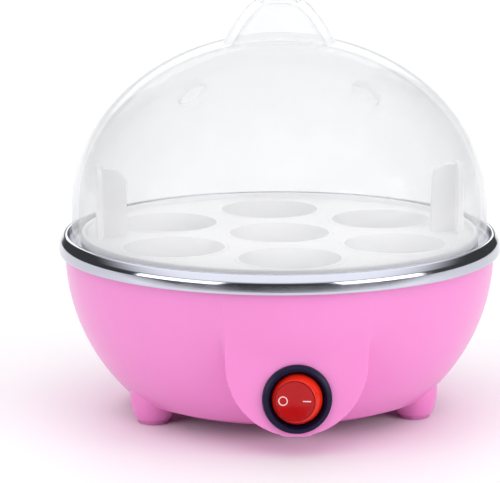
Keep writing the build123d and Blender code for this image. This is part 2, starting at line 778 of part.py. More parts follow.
leads = {
    "live_lead": [
        *block_ways[1], (11.5, 10, 12.2), (16.5, -2, 12.0), (18, -16, 12.8), (13.5, -29.5, 14.6),
        *reversed(from_switch_right),
    ],
    "switched_lead": [
        *from_switch_left, (-12.5, -34, 15.0), (-22, -25, 13.2), (-28, -10, 13.8), (-28.6, 3, 17.4),
        (-25.6, 11.5, 23.5), *reversed(from_thermostat_left),
    ],
    "fuse_lead": [
        *from_thermostat_right, (23.4, 11, 25.0), (24, 1, 21.0), (21, -9.5, 25.6), *reversed(from_fuse_right),
    ],
    "element_lead": [
        *from_fuse_left, (-18, -16.6, 27.2), (-18.2, -21.6, 19.0), (-15.0, -26.0, 12.6),
        (-10.0, -28.6, 10.4), *reversed(from_element_left),
    ],
    "neutral_lead": [
        *from_element_right, (5.6, -23.0, 10.6), (3.4, -12.0, 9.9), (0.6, 2, 10.0), (-0.4, 11, 11.4),
        *reversed(block_ways[0]),
    ],
    "earth_lead": [
        *block_ways[-1], (-14, 13.4, 13.0), (-24, 13.6, 15.0), (-34, 14.6, 19.0), *reversed(from_earth),
    ],
}
for lead_name, route in leads.items():
    radii = bend_radii(route)
    print(lead_name, "bends, mm:", [round(r, 1) for r in radii])
    with BuildPart() as lead:
        with BuildLine():
            lead_path = FilletPolyline(*route, radius=radii)
        with BuildSketch(Plane(origin=lead_path @ 0, z_dir=lead_path % 0)):
            Circle(lead_radius)
        sweep()
    save(lead.part, lead_name)

# ---------------------------------------------------------------- egg tray
ring_seats = [
    (seat_circle * cos(radians(a)), seat_circle * sin(radians(a))) for a in range(-90, 270, 60)
]
seats = [(0, 0)] + ring_seats
seat_low_outside = seat_bottom_radius + seat_wall
seat_high_outside = seat_radius + seat_wall
with BuildPart() as egg_tray:
    with BuildSketch(Plane.XY.offset(tray_bottom)):
        Circle(tray_radius)
    extrude(amount=tray_thickness)
    with BuildSketch(Plane.XY.offset(tray_top)):
        Circle(tray_radius)
        Circle(tray_radius - tray_edge_width, mode=Mode.SUBTRACT)
    extrude(amount=tray_edge_height)
    with Locations(*[(x, y, seat_bottom) for x, y in seats]):
        Cone(seat_low_outside, seat_high_outside, seat_depth,
             align=(Align.CENTER, Align.CENTER, Align.MIN))
    with Locations(*[(x, y, seat_bottom) for x, y in seats]):
        Cone(seat_bottom_radius, seat_radius, seat_depth,
             align=(Align.CENTER, Align.CENTER, Align.MIN), mode=Mode.SUBTRACT)
    for side in (-1, 1):
        outer = side * handle_reach
        with BuildSketch(Plane(origin=(outer, 0, tray_bottom), x_dir=(0, 1, 0), z_dir=(-side, 0, 0))):
            with Locations((0, 0)):
                Rectangle(2 * handle_half_width, handle_top - tray_bottom,
                          align=(Align.CENTER, Align.MIN if side < 0 else Align.MAX))
        extrude(amount=handle_thickness)
        with BuildSketch(Plane(origin=(0, 0, tray_bottom), x_dir=(1, 0, 0), z_dir=(0, -1, 0))):
            with BuildLine():
                Polyline((side * handle_rib_reach, 0), (outer, 0), (outer, handle_top - tray_bottom),
                         (side * (handle_reach - 6), handle_top - tray_bottom),
                         (side * handle_rib_reach, handle_top - tray_bottom - 6),
                         (side * handle_rib_reach, 0))
            make_face()
        extrude(amount=handle_thickness / 2, both=True)
    handle_corners = egg_tray.edges().filter_by(Axis.X).filter_by(
        lambda e: e.center().Z > handle_top - 0.1 and abs(abs(e.center().Y) - handle_half_width) < 0.1)
    fillet(handle_corners, handle_round)
save(egg_tray.part, "egg_tray")

# ---------------------------------------------------------------- lid
lid_height = lid_crown - lid_equator
vent_places = [
    (vent_circle * cos(radians(lid_front + turn)), vent_circle * sin(radians(lid_front + turn)))
    for turn in (-vent_angle, vent_angle)
]


def knob_floor(height):
    """Level plane on the axis, turned with the lid."""
    return Plane(origin=(0, 0, height), x_dir=(cos(radians(lid_turn)), sin(radians(lid_turn)), 0), z_dir=up)


with BuildPart() as lid:
    with BuildSketch(Plane.XZ):
        with BuildLine():
            EllipticalCenterArc((0, lid_equator), lid_radius, lid_height, start_angle=0, arc_size=90)
            Polyline((lid_radius, lid_equator), (lid_radius, lid_bottom + lip_height),
                     (lid_radius + lip_width, lid_bottom + lip_height - lip_width),
                     (lid_radius + lip_width, lid_bottom), (0, lid_bottom), (0, lid_crown))
        make_face()
    revolve(axis=Axis.Z)
    with BuildSketch(knob_floor(knob_root)):
        RectangleRounded(knob_base[0], knob_base[1], knob_round)
    with BuildSketch(knob_floor(total_height)):
        RectangleRounded(knob_tip[0], knob_tip[1], knob_round)
    loft()
    fillet(lid.edges().group_by(Axis.Z)[-1], 1.8)
    with BuildSketch(Plane.XZ):
        with BuildLine():
            EllipticalCenterArc((0, lid_equator), lid_radius - lid_wall, lid_height - lid_crown_wall,
                                start_angle=0, arc_size=90)
            Polyline((lid_radius - lid_wall, lid_equator), (lid_radius - lid_wall, lid_bottom),
                     (0, lid_bottom), (0, lid_crown - lid_crown_wall))
        make_face()
    revolve(axis=Axis.Z, mode=Mode.SUBTRACT)
    with BuildSketch(knob_floor(knob_root - 3)):
        RectangleRounded(knob_base[0] - 2 * knob_hollow_wall, knob_base[1] - 2 * knob_hollow_wall, 2)
    with BuildSketch(knob_floor(total_height - knob_hollow_wall)):
        RectangleRounded(knob_tip[0] - 2 * knob_hollow_wall, knob_tip[1] - 2 * knob_hollow_wall, 1.5)
    loft(mode=Mode.SUBTRACT)
    with BuildSketch(Plane.XY.offset(lid_equator)):
        with Locations(*vent_places):
            Circle(vent_radius)
    extrude(amount=lid_height, mode=Mode.SUBTRACT)
save(lid.part, "lid")
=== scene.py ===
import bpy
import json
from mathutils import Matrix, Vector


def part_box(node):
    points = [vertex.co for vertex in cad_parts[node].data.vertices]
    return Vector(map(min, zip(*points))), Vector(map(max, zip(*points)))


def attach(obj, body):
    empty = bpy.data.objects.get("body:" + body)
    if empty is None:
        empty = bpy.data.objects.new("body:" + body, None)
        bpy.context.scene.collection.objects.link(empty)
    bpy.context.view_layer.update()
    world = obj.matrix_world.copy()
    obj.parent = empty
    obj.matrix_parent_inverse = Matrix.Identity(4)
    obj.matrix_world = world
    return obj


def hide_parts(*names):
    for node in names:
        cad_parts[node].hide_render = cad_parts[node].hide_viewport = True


bl_info = {
    "name": "Egg Cooker",
    "version": (1, 0, 0),
    "blender": (4, 5, 0),
    "location": "View3D > Sidebar > Egg Cooker",
    "description": "Finished meshes and materials for the egg cooker's frame",
    "category": "Object",
}

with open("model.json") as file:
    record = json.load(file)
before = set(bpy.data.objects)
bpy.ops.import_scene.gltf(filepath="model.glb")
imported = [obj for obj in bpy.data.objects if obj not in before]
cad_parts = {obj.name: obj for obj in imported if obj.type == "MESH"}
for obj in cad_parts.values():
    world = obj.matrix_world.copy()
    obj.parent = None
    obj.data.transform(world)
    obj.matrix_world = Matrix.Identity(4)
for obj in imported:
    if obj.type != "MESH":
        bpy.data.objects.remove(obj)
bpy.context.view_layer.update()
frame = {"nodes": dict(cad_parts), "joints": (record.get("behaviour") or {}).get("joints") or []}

import json
from math import asin, atan2, cos, pi, radians, sin, sqrt, tan

import bmesh
import bpy
from bpy.props import FloatProperty, FloatVectorProperty, IntProperty, PointerProperty
from mathutils import Matrix, Vector

MM = 0.001
TURN = 2 * pi
NODES = frame["nodes"]
JOINTS = {joint["name"]: joint for joint in frame["joints"]}

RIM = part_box("water_pan")
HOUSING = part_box("base_housing")
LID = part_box("lid")
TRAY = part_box("egg_tray")
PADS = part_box("foot_pads")
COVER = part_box("bottom_cover")
LEDGE_DEPTH = 3.0 * MM


# ---------------- user settings
class EggCookerSizes(bpy.types.PropertyGroup):
    """Sizes of the finished meshes, in the frame's metres."""

    segments: IntProperty(
        name="Segments", description="Facets round a full turn", default=256, min=48)
    bowl_radius: FloatProperty(
        name="Bowl radius", description="Outside of the bowl under the steel band",
        default=73.3 * MM, unit="LENGTH")
    bowl_arc: FloatProperty(
        name="Bowl arc", description="Radius of the bowl's wall in section",
        default=65.5 * MM, unit="LENGTH")
    housing_wall: FloatProperty(
        name="Housing wall", description="Wall thickness of the bowl",
        default=2.2 * MM, unit="LENGTH")
    band_height: FloatProperty(
        name="Band height", description="Upright part of the steel rim", default=4.6 * MM, unit="LENGTH")
    pan_wall: FloatProperty(
        name="Pan wall", description="Sheet thickness of the pan", default=0.7 * MM, unit="LENGTH")
    bead_width: FloatProperty(
        name="Bead width", description="Width of the rolled rim", default=3.2 * MM, unit="LENGTH")
    lid_wall: FloatProperty(
        name="Lid wall", description="Wall thickness of the dome", default=2.4 * MM, unit="LENGTH")
    seat_circle: FloatProperty(
        name="Seat circle", description="Radius of the ring of egg seats", default=43 * MM, unit="LENGTH")
    seat_radius: FloatProperty(
        name="Seat radius", description="Mouth of an egg seat", default=17 * MM, unit="LENGTH")


class EggCookerColours(bpy.types.PropertyGroup):
    """Colours of the finishes."""

    housing: FloatVectorProperty(
        name="Housing", description="Moulded bowl", subtype="COLOR", size=3,
        default=(0.87, 0.255, 0.62), min=0, max=1)
    steel: FloatVectorProperty(
        name="Steel", description="Water pan", subtype="COLOR", size=3,
        default=(0.6, 0.61, 0.69), min=0, max=1)
    tray: FloatVectorProperty(
        name="Tray", description="Egg tray", subtype="COLOR", size=3,
        default=(0.92, 0.915, 0.925), min=0, max=1)
    lid: FloatVectorProperty(
        name="Lid", description="Clear dome", subtype="COLOR", size=3,
        default=(0.8, 0.805, 0.82), min=0, max=1)
    bezel: FloatVectorProperty(
        name="Bezel", description="Switch surround", subtype="COLOR", size=3,
        default=(0.0045, 0.004, 0.027), min=0, max=1)
    rocker: FloatVectorProperty(
        name="Rocker", description="Switch rocker", subtype="COLOR", size=3,
        default=(0.44, 0.006, 0.008), min=0, max=1)


def sizes():
    """The sizes in use."""
    return bpy.context.scene.egg_cooker_sizes


def colours():
    """The colours in use."""
    return bpy.context.scene.egg_cooker_colours


# ---------------- shape tools
def rounded_path(corners, radii, steps=6):
    """Points along a polyline whose inner corners are arcs of the given radii."""
    points = [Vector(corners[0])]
    for before, here, after, radius in zip(corners, corners[1:], corners[2:], radii):
        before, here, after = Vector(before), Vector(here), Vector(after)
        back, ahead = (before - here).normalized(), (after - here).normalized()
        half = back.angle(ahead) / 2
        if radius <= 0 or half > pi / 2 - 0.01:
            points.append(here)
            continue
        centre = here + (back + ahead).normalized() * (radius / sin(half))
        first = here + back * (radius / tan(half)) - centre
        last = here + ahead * (radius / tan(half)) - centre
        sweep = first.angle(last)
        for step in range(steps + 1):
            share = step / steps
            arm = (first * sin((1 - share) * sweep) + last * sin(share * sweep)) / sin(sweep)
            points.append(centre + arm)
    points.append(Vector(corners[-1]))
    return points


def moved_sideways(path, distance):
    """The path moved to its right by the distance, corner by corner."""
    result = []
    for index, here in enumerate(path):
        normals = []
        if index > 0:
            run = (here - path[index - 1]).normalized()
            normals.append(Vector((run.y, -run.x)))
        if index < len(path) - 1:
            run = (path[index + 1] - here).normalized()
            normals.append(Vector((run.y, -run.x)))
        normal = sum(normals, Vector((0, 0))).normalized()
        result.append(here + normal * (distance / max(0.3, normal.dot(normals[0]))))
    return result


def new_object(name, bm, crease=35):
    """An object from a bmesh, shaded smooth except at creases sharper than the angle."""
    bmesh.ops.remove_doubles(bm, verts=bm.verts, dist=1e-7)
    bmesh.ops.recalc_face_normals(bm, faces=bm.faces)
    mesh = bpy.data.meshes.new(name)
    bm.to_mesh(mesh)
    bm.free()
    mesh.shade_smooth()
    mesh.set_sharp_from_angle(angle=radians(crease))
    obj = bpy.data.objects.new(name, mesh)
    bpy.context.scene.collection.objects.link(obj)
    return obj


def loop_mesh(bm, columns):
    """Faces between neighbouring closed section loops, all round."""
    grid = [[bm.verts.new(point) for point in column] for column in columns]
    for here, ahead in zip(grid, grid[1:] + grid[:1]):
        for index in range(len(here)):
            after = (index + 1) % len(here)
            bm.faces.new((here[index], here[after], ahead[after], ahead[index]))


def circle(centre, radius, segments):
    """Points round a level circle."""
    angles = [TURN * step / segments for step in range(segments)]
    return [centre + Vector((radius * cos(a), radius * sin(a), 0)) for a in angles]


def spin(bm, profile, segments, matrix=Matrix.Identity(4)):
    """A turned solid from (radius, height) points. A closed section if neither end is on the axis."""
    on_axis = [abs(point[0]) < 1e-6 for point in profile]
    rings = []
    for (radius, height), pole in zip(profile, on_axis):
        ring = [Vector((0, 0, height))] if pole else circle(Vector((0, 0, height)), radius, segments)
        rings.append([bm.verts.new(matrix @ point) for point in ring])
    pairs = list(zip(rings, rings[1:]))
    if not on_axis[0] and not on_axis[-1]:
        pairs.append((rings[-1], rings[0]))
    for low, high in pairs:
        for step in range(segments):
            after = (step + 1) % segments
            corners = [low[step % len(low)], low[after % len(low)],
                       high[after % len(high)], high[step % len(high)]]
            unique = [v for n, v in enumerate(corners) if v not in corners[:n]]
            if len(unique) > 2:
                bm.faces.new(unique)


def turned(name, profile, segments=None, matrix=Matrix.Identity(4), crease=35):
    """A turned object."""
    bm = bmesh.new()
    spin(bm, profile, segments or sizes().segments, matrix)
    return new_object(name, bm, crease)


def loft(bm, outlines):
    """A solid through closed outlines with equal numbers of points, capped at both ends."""
    rings = [[bm.verts.new(point) for point in outline] for outline in outlines]
    count = len(rings[0])
    for low, high in zip(rings, rings[1:]):
        for index in range(count):
            after = (index + 1) % count
            bm.faces.new((low[index], low[after], high[after], high[index]))
    bm.faces.new(rings[0])
    bm.faces.new(rings[-1])


def lofted(name, outlines):
    """A lofted object."""
    bm = bmesh.new()
    loft(bm, outlines)
    return new_object(name, bm)


def rounded_rectangle(width, depth, radius, height, steps=8, matrix=Matrix.Identity(4)):
    """Outline of a rectangle with round corners, at a height."""
    points = []
    for quarter in range(4):
        side_x = 1 if quarter in (0, 3) else -1
        side_y = 1 if quarter in (0, 1) else -1
        for step in range(steps + 1):
            angle = pi / 2 * (quarter + step / steps)
            points.append(matrix @ Vector((
                side_x * (width / 2 - radius) + radius * cos(angle),
                side_y * (depth / 2 - radius) + radius * sin(angle), height)))
    return points


def plain_copy(obj):
    """Applies an object's modifiers, so that it's a plain mesh."""
    mesh = bpy.data.meshes.new_from_object(obj.evaluated_get(bpy.context.evaluated_depsgraph_get()))
    obj.modifiers.clear()
    old = obj.data
    obj.data = mesh
    bpy.data.meshes.remove(old)
    mesh.name = obj.name


def combine(target, tool, operation):
    """Joins a tool to the target or cuts it out, and removes the tool."""
    cut = target.modifiers.new("combine", "BOOLEAN")
    cut.operation, cut.solver, cut.object = operation, "EXACT", tool
    bpy.context.view_layer.update()
    plain_copy(target)
    if not target.data.polygons:
        raise RuntimeError(f"{operation} with {tool.name} left {target.name} empty")
    bpy.data.objects.remove(tool)


def reshade(obj, crease=35):
    """Smooth shading again after cuts, with flat faces kept flat."""
    obj.data.shade_smooth()
    obj.data.set_sharp_from_angle(angle=radians(crease))
    weigh = obj.modifiers.new("weigh", "WEIGHTED_NORMAL")
    weigh.keep_sharp = True
    bpy.context.view_layer.update()
    plain_copy(obj)


def finish_piece(obj, material, nodes, body):
    """Gives a piece its material and its place in the frame."""
    obj.data.materials.clear()
    obj.data.materials.append(material)
    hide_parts(*nodes)
    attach(obj, body)


def panel_matrix(origin, upright, outwards):
    """A matrix whose z axis looks out of the switch panel and whose y axis is the upright."""
    side = upright.cross(outwards).normalized()
    matrix = Matrix((side, upright, outwards)).transposed().to_4x4()
    matrix.translation = origin
    return matrix


# switch: the panel is a little in front of the rocker's pivot, and the rocker rests tilted to the off side
PIVOT = Vector(JOINTS["rocker_tilt"]["pos_m"])
UPRIGHT = Vector(JOINTS["rocker_tilt"]["axis"]).normalized()
OUTWARDS = Vector((1, 0, 0)).cross(UPRIGHT).normalized()
PIVOT_DEPTH = 0.8 * MM
PANEL = panel_matrix(PIVOT + OUTWARDS * PIVOT_DEPTH, UPRIGHT, OUTWARDS)
PANEL_LEAN = asin(OUTWARDS.z)
ROCKER_TILT = radians(12)
ROCKER = panel_matrix(PIVOT, UPRIGHT, OUTWARDS) @ Matrix.Rotation(-ROCKER_TILT, 4, "Y")
# LIT_SIDE: the direction, in the rocker's plane, towards which its side is painted a lighter red as painted
# light.
LIT_SIDE = Vector((0.8, 0.6))
LID_TURN = radians(-5)


# ---------------- material tools
def give(tree, node, sockets):
    """Sets each named socket of a node to a value, or links it to another node's output."""
    for name, value in sockets.items():
        if isinstance(value, bpy.types.NodeSocket):
            tree.links.new(value, node.inputs[name])
        else:
            node.inputs[name].default_value = value


def place(tree, kind, sockets, **settings):
    """Adds a node with its properties and its sockets."""
    node = tree.nodes.new(kind)
    for key, value in settings.items():
        setattr(node, key, value)
    give(tree, node, sockets)
    return node


def blank_material(name):
    """A new material, its tree and its shader."""
    material = bpy.data.materials.new(name)
    material.use_nodes = True
    return material, material.node_tree, material.node_tree.nodes["Principled BSDF"]


def object_point(tree, stretch=(1, 1, 1)):
    """Object coordinates, stretched."""
    point = place(tree, "ShaderNodeTexCoord", {}).outputs["Object"]
    return place(tree, "ShaderNodeMapping", {"Vector": point, "Scale": stretch}).outputs["Vector"]


def round_the_axis(tree, along, across):
    """A point made of radius, height and angle, for marks that run round the middle."""
    point = place(tree, "ShaderNodeTexCoord", {}).outputs["Object"]
    parts = place(tree, "ShaderNodeSeparateXYZ", {0: point}).outputs
    flat = place(tree, "ShaderNodeCombineXYZ", {"X": parts["X"], "Y": parts["Y"]}).outputs[0]
    radius = place(tree, "ShaderNodeVectorMath", {0: flat}, operation="LENGTH").outputs["Value"]
    angle = place(tree, "ShaderNodeMath", {0: parts["Y"], 1: parts["X"]}, operation="ARCTAN2").outputs[0]
    scaled = [place(tree, "ShaderNodeMath", {0: value, 1: scale}, operation="MULTIPLY").outputs[0]
              for value, scale in ((radius, across), (parts["Z"], across), (angle, along))]
    return place(tree, "ShaderNodeCombineXYZ", dict(enumerate(scaled))).outputs[0]


def speckle(tree, vector, scale, detail):
    """Noise from 0 to 1 at that many features a metre."""
    sockets = {"Vector": vector, "Scale": scale, "Detail": detail, "Roughness": 0.55}
    return place(tree, "ShaderNodeTexNoise", sockets).outputs["Fac"]


def between(tree, value, low, high, start=0.3, end=0.7):
    """A 0 to 1 value mapped to a range."""
    sockets = {"Value": value, "From Min": start, "From Max": end, "To Min": low, "To Max": high}
    return place(tree, "ShaderNodeMapRange", sockets).outputs["Result"]


def mixed(tree, factor, first, second):
    """A colour between two."""
    sockets = {"Factor": factor, "A": first, "B": second}
    return place(tree, "ShaderNodeMix", sockets, data_type="RGBA").outputs["Result"]


def mottled(tree, value, colour, dark, light):
    """A colour that goes from a darker to a lighter copy of itself, by a value."""
    return mixed(tree, value, (*shade(colour, dark), 1), (*shade(colour, light), 1))


def roughened(tree, *layers):
    """The normal after layers of bump, each a height value, a distance in metres and a strength."""
    normal = {}
    for height, distance, strength in layers:
        sockets = {"Height": height, "Distance": distance, "Strength": strength, **normal}
        normal["Normal"] = place(tree, "ShaderNodeBump", sockets).outputs["Normal"]
    return normal["Normal"]


def shade(colour, factor):
    """A lighter or darker copy of a colour."""
    return tuple(min(1.0, channel * factor) for channel in colour)


# ---------------- materials
def moulded_plastic(name, colour, roughness, grain, grain_depth, more=None):
    """Injection moulded plastic: faint flow mottling, a fine skin and slow waves in the gloss."""
    material, tree, shader = blank_material(name)
    point = object_point(tree)
    flow = speckle(tree, object_point(tree, (1, 1, 0.45)), 26, 4)
    patches = speckle(tree, point, 52, 1)
    give(tree, shader, {
        "Base Color": mottled(tree, flow, colour, 0.95, 1.05),
        "Roughness": between(tree, patches, roughness - 0.03, roughness + 0.03, 0.0, 1.0),
        "Normal": roughened(tree, (speckle(tree, point, grain, 2), grain_depth, 0.35)),
        "IOR": 1.49,
        "Coat Roughness": 0.12,
        **(more or {}),
    })
    return material


def inner_light(weight, radius):
    """Sockets for light that spreads inside a plastic."""
    return {"Subsurface Weight": weight, "Subsurface Radius": radius, "Subsurface Scale": 1.0}


def housing_plastic():
    """Pink polypropylene with a soft gloss and a little light inside it."""
    more = {"Coat Weight": 0.25, **inner_light(0.12, (0.004, 0.0015, 0.003))}
    return moulded_plastic("housing_plastic", colours().housing, 0.3, 2400, 0.012 * MM, more)


def cover_plastic():
    """The cover's spark-eroded texture, a coarser grain in the same pink."""
    return moulded_plastic("cover_plastic", shade(colours().housing, 0.9), 0.5, 1300, 0.09 * MM)


def tray_plastic():
    """White satin polypropylene."""
    more = inner_light(0.15, (0.003, 0.003, 0.003))
    return moulded_plastic("tray_plastic", colours().tray, 0.38, 1800, 0.03 * MM, more)


def black_plastic(name):
    """Black nylon of the gland and its nut."""
    return moulded_plastic(name, (0.02, 0.02, 0.022), 0.45, 1600, 0.05 * MM)


def spun_steel():
    """Polished pan steel: fine rings from spinning, a few smears, mirror-like on the bead."""
    material, tree, shader = blank_material("spun_steel")
    rings = speckle(tree, round_the_axis(tree, 3.0, 5200.0), 1.0, 2)
    smears = speckle(tree, object_point(tree), 45, 4)
    give(tree, shader, {
        "Base Color": mottled(tree, smears, colours().steel, 0.93, 1.05),
        "Roughness": between(tree, smears, 0.07, 0.15),
        "Normal": roughened(tree, (smears, 0.05 * MM, 0.2), (rings, 0.006 * MM, 0.3)),
        "Metallic": 1.0,
    })
    return material


def metal(name, colour, roughness, grain, grain_depth=0.02 * MM):
    """Bare or plated metal with a fine grain and slight staining."""
    material, tree, shader = blank_material(name)
    point = object_point(tree)
    stain = speckle(tree, point, 180, 4)
    give(tree, shader, {
        "Base Color": mottled(tree, stain, colour, 0.8, 1.1),
        "Roughness": between(tree, stain, roughness - 0.07, roughness + 0.1),
        "Normal": roughened(tree, (speckle(tree, point, grain, 3), grain_depth, 0.5)),
        "Metallic": 1.0,
    })
    return material


def clear_plastic():
    """Clear polystyrene: thin and bright face on, milky where the wall is seen edge on."""
    material, tree, shader = blank_material("clear_plastic")
    haze = speckle(tree, object_point(tree), 60, 4)
    waves = speckle(tree, object_point(tree, (1, 1, 0.5)), 22, 2)
    edge = place(tree, "ShaderNodeLayerWeight", {"Blend": 0.35}).outputs["Facing"]
    body = {0: edge, 1: 0.37, 2: between(tree, haze, 0.095, 0.125)}
    give(tree, shader, {
        "Base Color": mottled(tree, haze, colours().lid, 0.96, 1.03),
        "Roughness": between(tree, haze, 0.08, 0.16),
        "Normal": roughened(tree, (waves, 0.06 * MM, 0.15)),
        "Alpha": place(tree, "ShaderNodeMath", body, operation="MULTIPLY_ADD").outputs[0],
        "IOR": 1.49,
    })
    return material


def rocker_plastic():
    """Polished red, slightly see-through, with its ball-cut side painted a lighter red that is strongest
    towards the upper right: painted light.
    """
    material, tree, shader = blank_material("rocker_plastic")
    point = object_point(tree)
    cloud = speckle(tree, point, 160, 3)
    # The side attribute is 0 on the face and rises on the ball-cut side towards the upper right. It mixes
    # in the painted lighter red, which is painted light.
    side = place(tree, "ShaderNodeAttribute", {}, attribute_name="side").outputs["Fac"]
    face = mottled(tree, cloud, colours().rocker, 0.82, 1.2)
    painted_lit_red = mixed(tree, cloud, (0.66, 0.012, 0.003, 1), (0.84, 0.026, 0.005, 1))
    give(tree, shader, {
        "Base Color": mixed(tree, side, face, painted_lit_red),
        "Roughness": between(tree, cloud, 0.12, 0.24),
        "Normal": roughened(tree, (cloud, 0.04 * MM, 0.3), (speckle(tree, point, 3000, 2), 0.01 * MM, 0.3)),
        "Specular IOR Level": 0.2,
        "Coat Weight": 0.1,
        "Coat Roughness": 0.06,
        **inner_light(0.2, (0.002, 0.0004, 0.0002)),
    })
    return material


def woven_sleeve():
    """Glass-fibre sleeving: two sets of fine strands that cross."""
    material, tree, shader = blank_material("woven_sleeve")
    heights = []
    for turn in (0.8, -0.8):
        sockets = {"Vector": object_point(tree), "Rotation": (turn, 0, turn)}
        point = place(tree, "ShaderNodeMapping", sockets).outputs["Vector"]
        strands = place(tree, "ShaderNodeTexWave", {"Vector": point, "Scale": 420}, wave_type="BANDS")
        heights.append(strands.outputs["Fac"])
    give(tree, shader, {
        "Base Color": mottled(tree, heights[0], (0.78, 0.74, 0.62), 0.8, 1.1),
        "Roughness": 0.75,
        "Normal": roughened(tree, *((height, 0.08 * MM, 0.6) for height in heights)),
    })
    return material


# ---------------- geometry node trees
def repeat_tree(name, make_points):
    """A tree that repeats its input mesh on points, then realizes it and sets the material."""
    tree = bpy.data.node_groups.new(name, "GeometryNodeTree")
    for socket, kind in (("Geometry", "Geometry"), ("Spread", "Float"), ("Second Spread", "Float"),
                         ("Count", "Int"), ("Material", "Material")):
        tree.interface.new_socket(socket, in_out="INPUT", socket_type=f"NodeSocket{kind}")
    tree.interface.new_socket("Geometry", in_out="OUTPUT", socket_type="NodeSocketGeometry")
    given = place(tree, "NodeGroupInput", {}).outputs
    points = {"Points": make_points(tree, given), "Instance": given["Geometry"]}
    copies = place(tree, "GeometryNodeInstanceOnPoints", points).outputs["Instances"]
    real = place(tree, "GeometryNodeRealizeInstances", {"Geometry": copies}).outputs["Geometry"]
    painted = place(tree, "GeometryNodeSetMaterial", {"Geometry": real, "Material": given["Material"]})
    place(tree, "NodeGroupOutput", {"Geometry": painted.outputs["Geometry"]})
    return tree


def ring_points(tree, given):
    """Points on a circle, with the first one towards +X turned by the second spread."""
    sockets = {"Vertices": given["Count"], "Radius": given["Spread"]}
    ring = place(tree, "GeometryNodeMeshCircle", sockets).outputs["Mesh"]
    angle = place(tree, "ShaderNodeCombineXYZ", {"Z": given["Second Spread"]}).outputs[0]
    return place(tree, "GeometryNodeTransform", {"Geometry": ring, "Rotation": angle}).outputs["Geometry"]


def ring_and_middle(tree, given):
    """Points on a circle and one in its middle."""
    both = place(tree, "GeometryNodeJoinGeometry", {"Geometry": ring_points(tree, given)})
    give(tree, both, {"Geometry": place(tree, "GeometryNodeMeshLine", {"Count": 1}).outputs["Mesh"]})
    return both.outputs["Geometry"]


def corner_points(tree, given):
    """The four corners of a rectangle of Spread by Second Spread."""
    sockets = {"Vertices X": 2, "Vertices Y": 2,
               "Size X": given["Spread"], "Size Y": given["Second Spread"]}
    return place(tree, "GeometryNodeMeshGrid", sockets).outputs["Mesh"]


def repeated(obj, tree, spread, second, count, material):
    """Runs a repeat tree on the object and leaves a plain mesh."""
    values = {"Spread": spread, "Second Spread": second, "Count": count, "Material": material}
    run = obj.modifiers.new("repeat", "NODES")
    run.node_group = tree
    for item in tree.interface.items_tree:
        if item.in_out == "INPUT" and item.name in values:
            run[item.identifier] = values[item.name]
    bpy.context.view_layer.update()
    plain_copy(obj)


# ---------------- base
BOWL_TOP = RIM[1].z - 6.3 * MM
BOWL_BOTTOM = COVER[1].z
COVER_OPENING, SHELF_OPENING, SHELF_THICKNESS = 44 * MM, 67.5 * MM, 1.4 * MM
# switch boss: half width, lowest point, and how softly its outline and its face meet the bowl
BOSS_HALF_WIDTH, BOSS_LOW, BOSS_SPAN = 23.5 * MM, 6.9 * MM, radians(27)
BOSS_BLEND_OUT, BOSS_BLEND_IN, BOSS_SOFTNESS = 1.5 * MM, 0.4 * MM, 1.2 * MM
SWITCH_HOLE = 10.1 * MM
PAD_RADIUS = 5.4 * MM
FOOT_X, FOOT_Y = PADS[1].x - PAD_RADIUS, PADS[1].y - PAD_RADIUS
# rise above the foot's end, distance inwards and radius, in millimetres
FOOT_SECTIONS = (
    (0.0, 0.0, 5.45), (0.12, 0.0, 5.75), (0.4, 0.0, 6.05), (0.9, 0.0, 6.35), (1.8, 0.0, 6.75),
    (3.2, 0.1, 7.25), (5.0, 0.4, 7.95), (7.0, 1.1, 8.9), (9.0, 2.4, 10.1), (11.0, 4.2, 11.6),
    (13.0, 6.2, 13.4),
)
GLAND_FLANGE = 2.6 * MM


def bowl_radius_at(height, inset=0.0):
    """Radius of the bowl's outside, or of a surface inset from it."""
    arc = sizes().bowl_arc
    drop = max(0.0, BOWL_TOP - height)
    return sizes().bowl_radius - arc + sqrt((arc - inset) ** 2 - drop**2)


def soft_step(value):
    """Smooth step from 0 to 1."""
    value = min(1.0, max(0.0, value))
    return value * value * (3 - 2 * value)


def boss_radius_at(angle, height):
    """Radius of the housing where the switch boss swells out of the bowl."""
    bowl, forward = bowl_radius_at(height), -sin(angle)
    if forward < 0.5:
        return bowl
    panel = PANEL.translation
    target = (-panel.y - (height - panel.z) * tan(PANEL_LEAN)) / forward
    across = target * cos(angle)
    upward = (height - BOSS_LOW) / cos(PANEL_LEAN) - BOSS_HALF_WIDTH
    outside = (sqrt(across**2 + upward**2) if upward < 0 else abs(across)) - BOSS_HALF_WIDTH
    share = soft_step((BOSS_BLEND_OUT - outside) / (BOSS_BLEND_OUT + BOSS_BLEND_IN))
    swell = (target - bowl + sqrt((target - bowl) ** 2 + BOSS_SOFTNESS**2)) / 2
    return bowl + share * swell


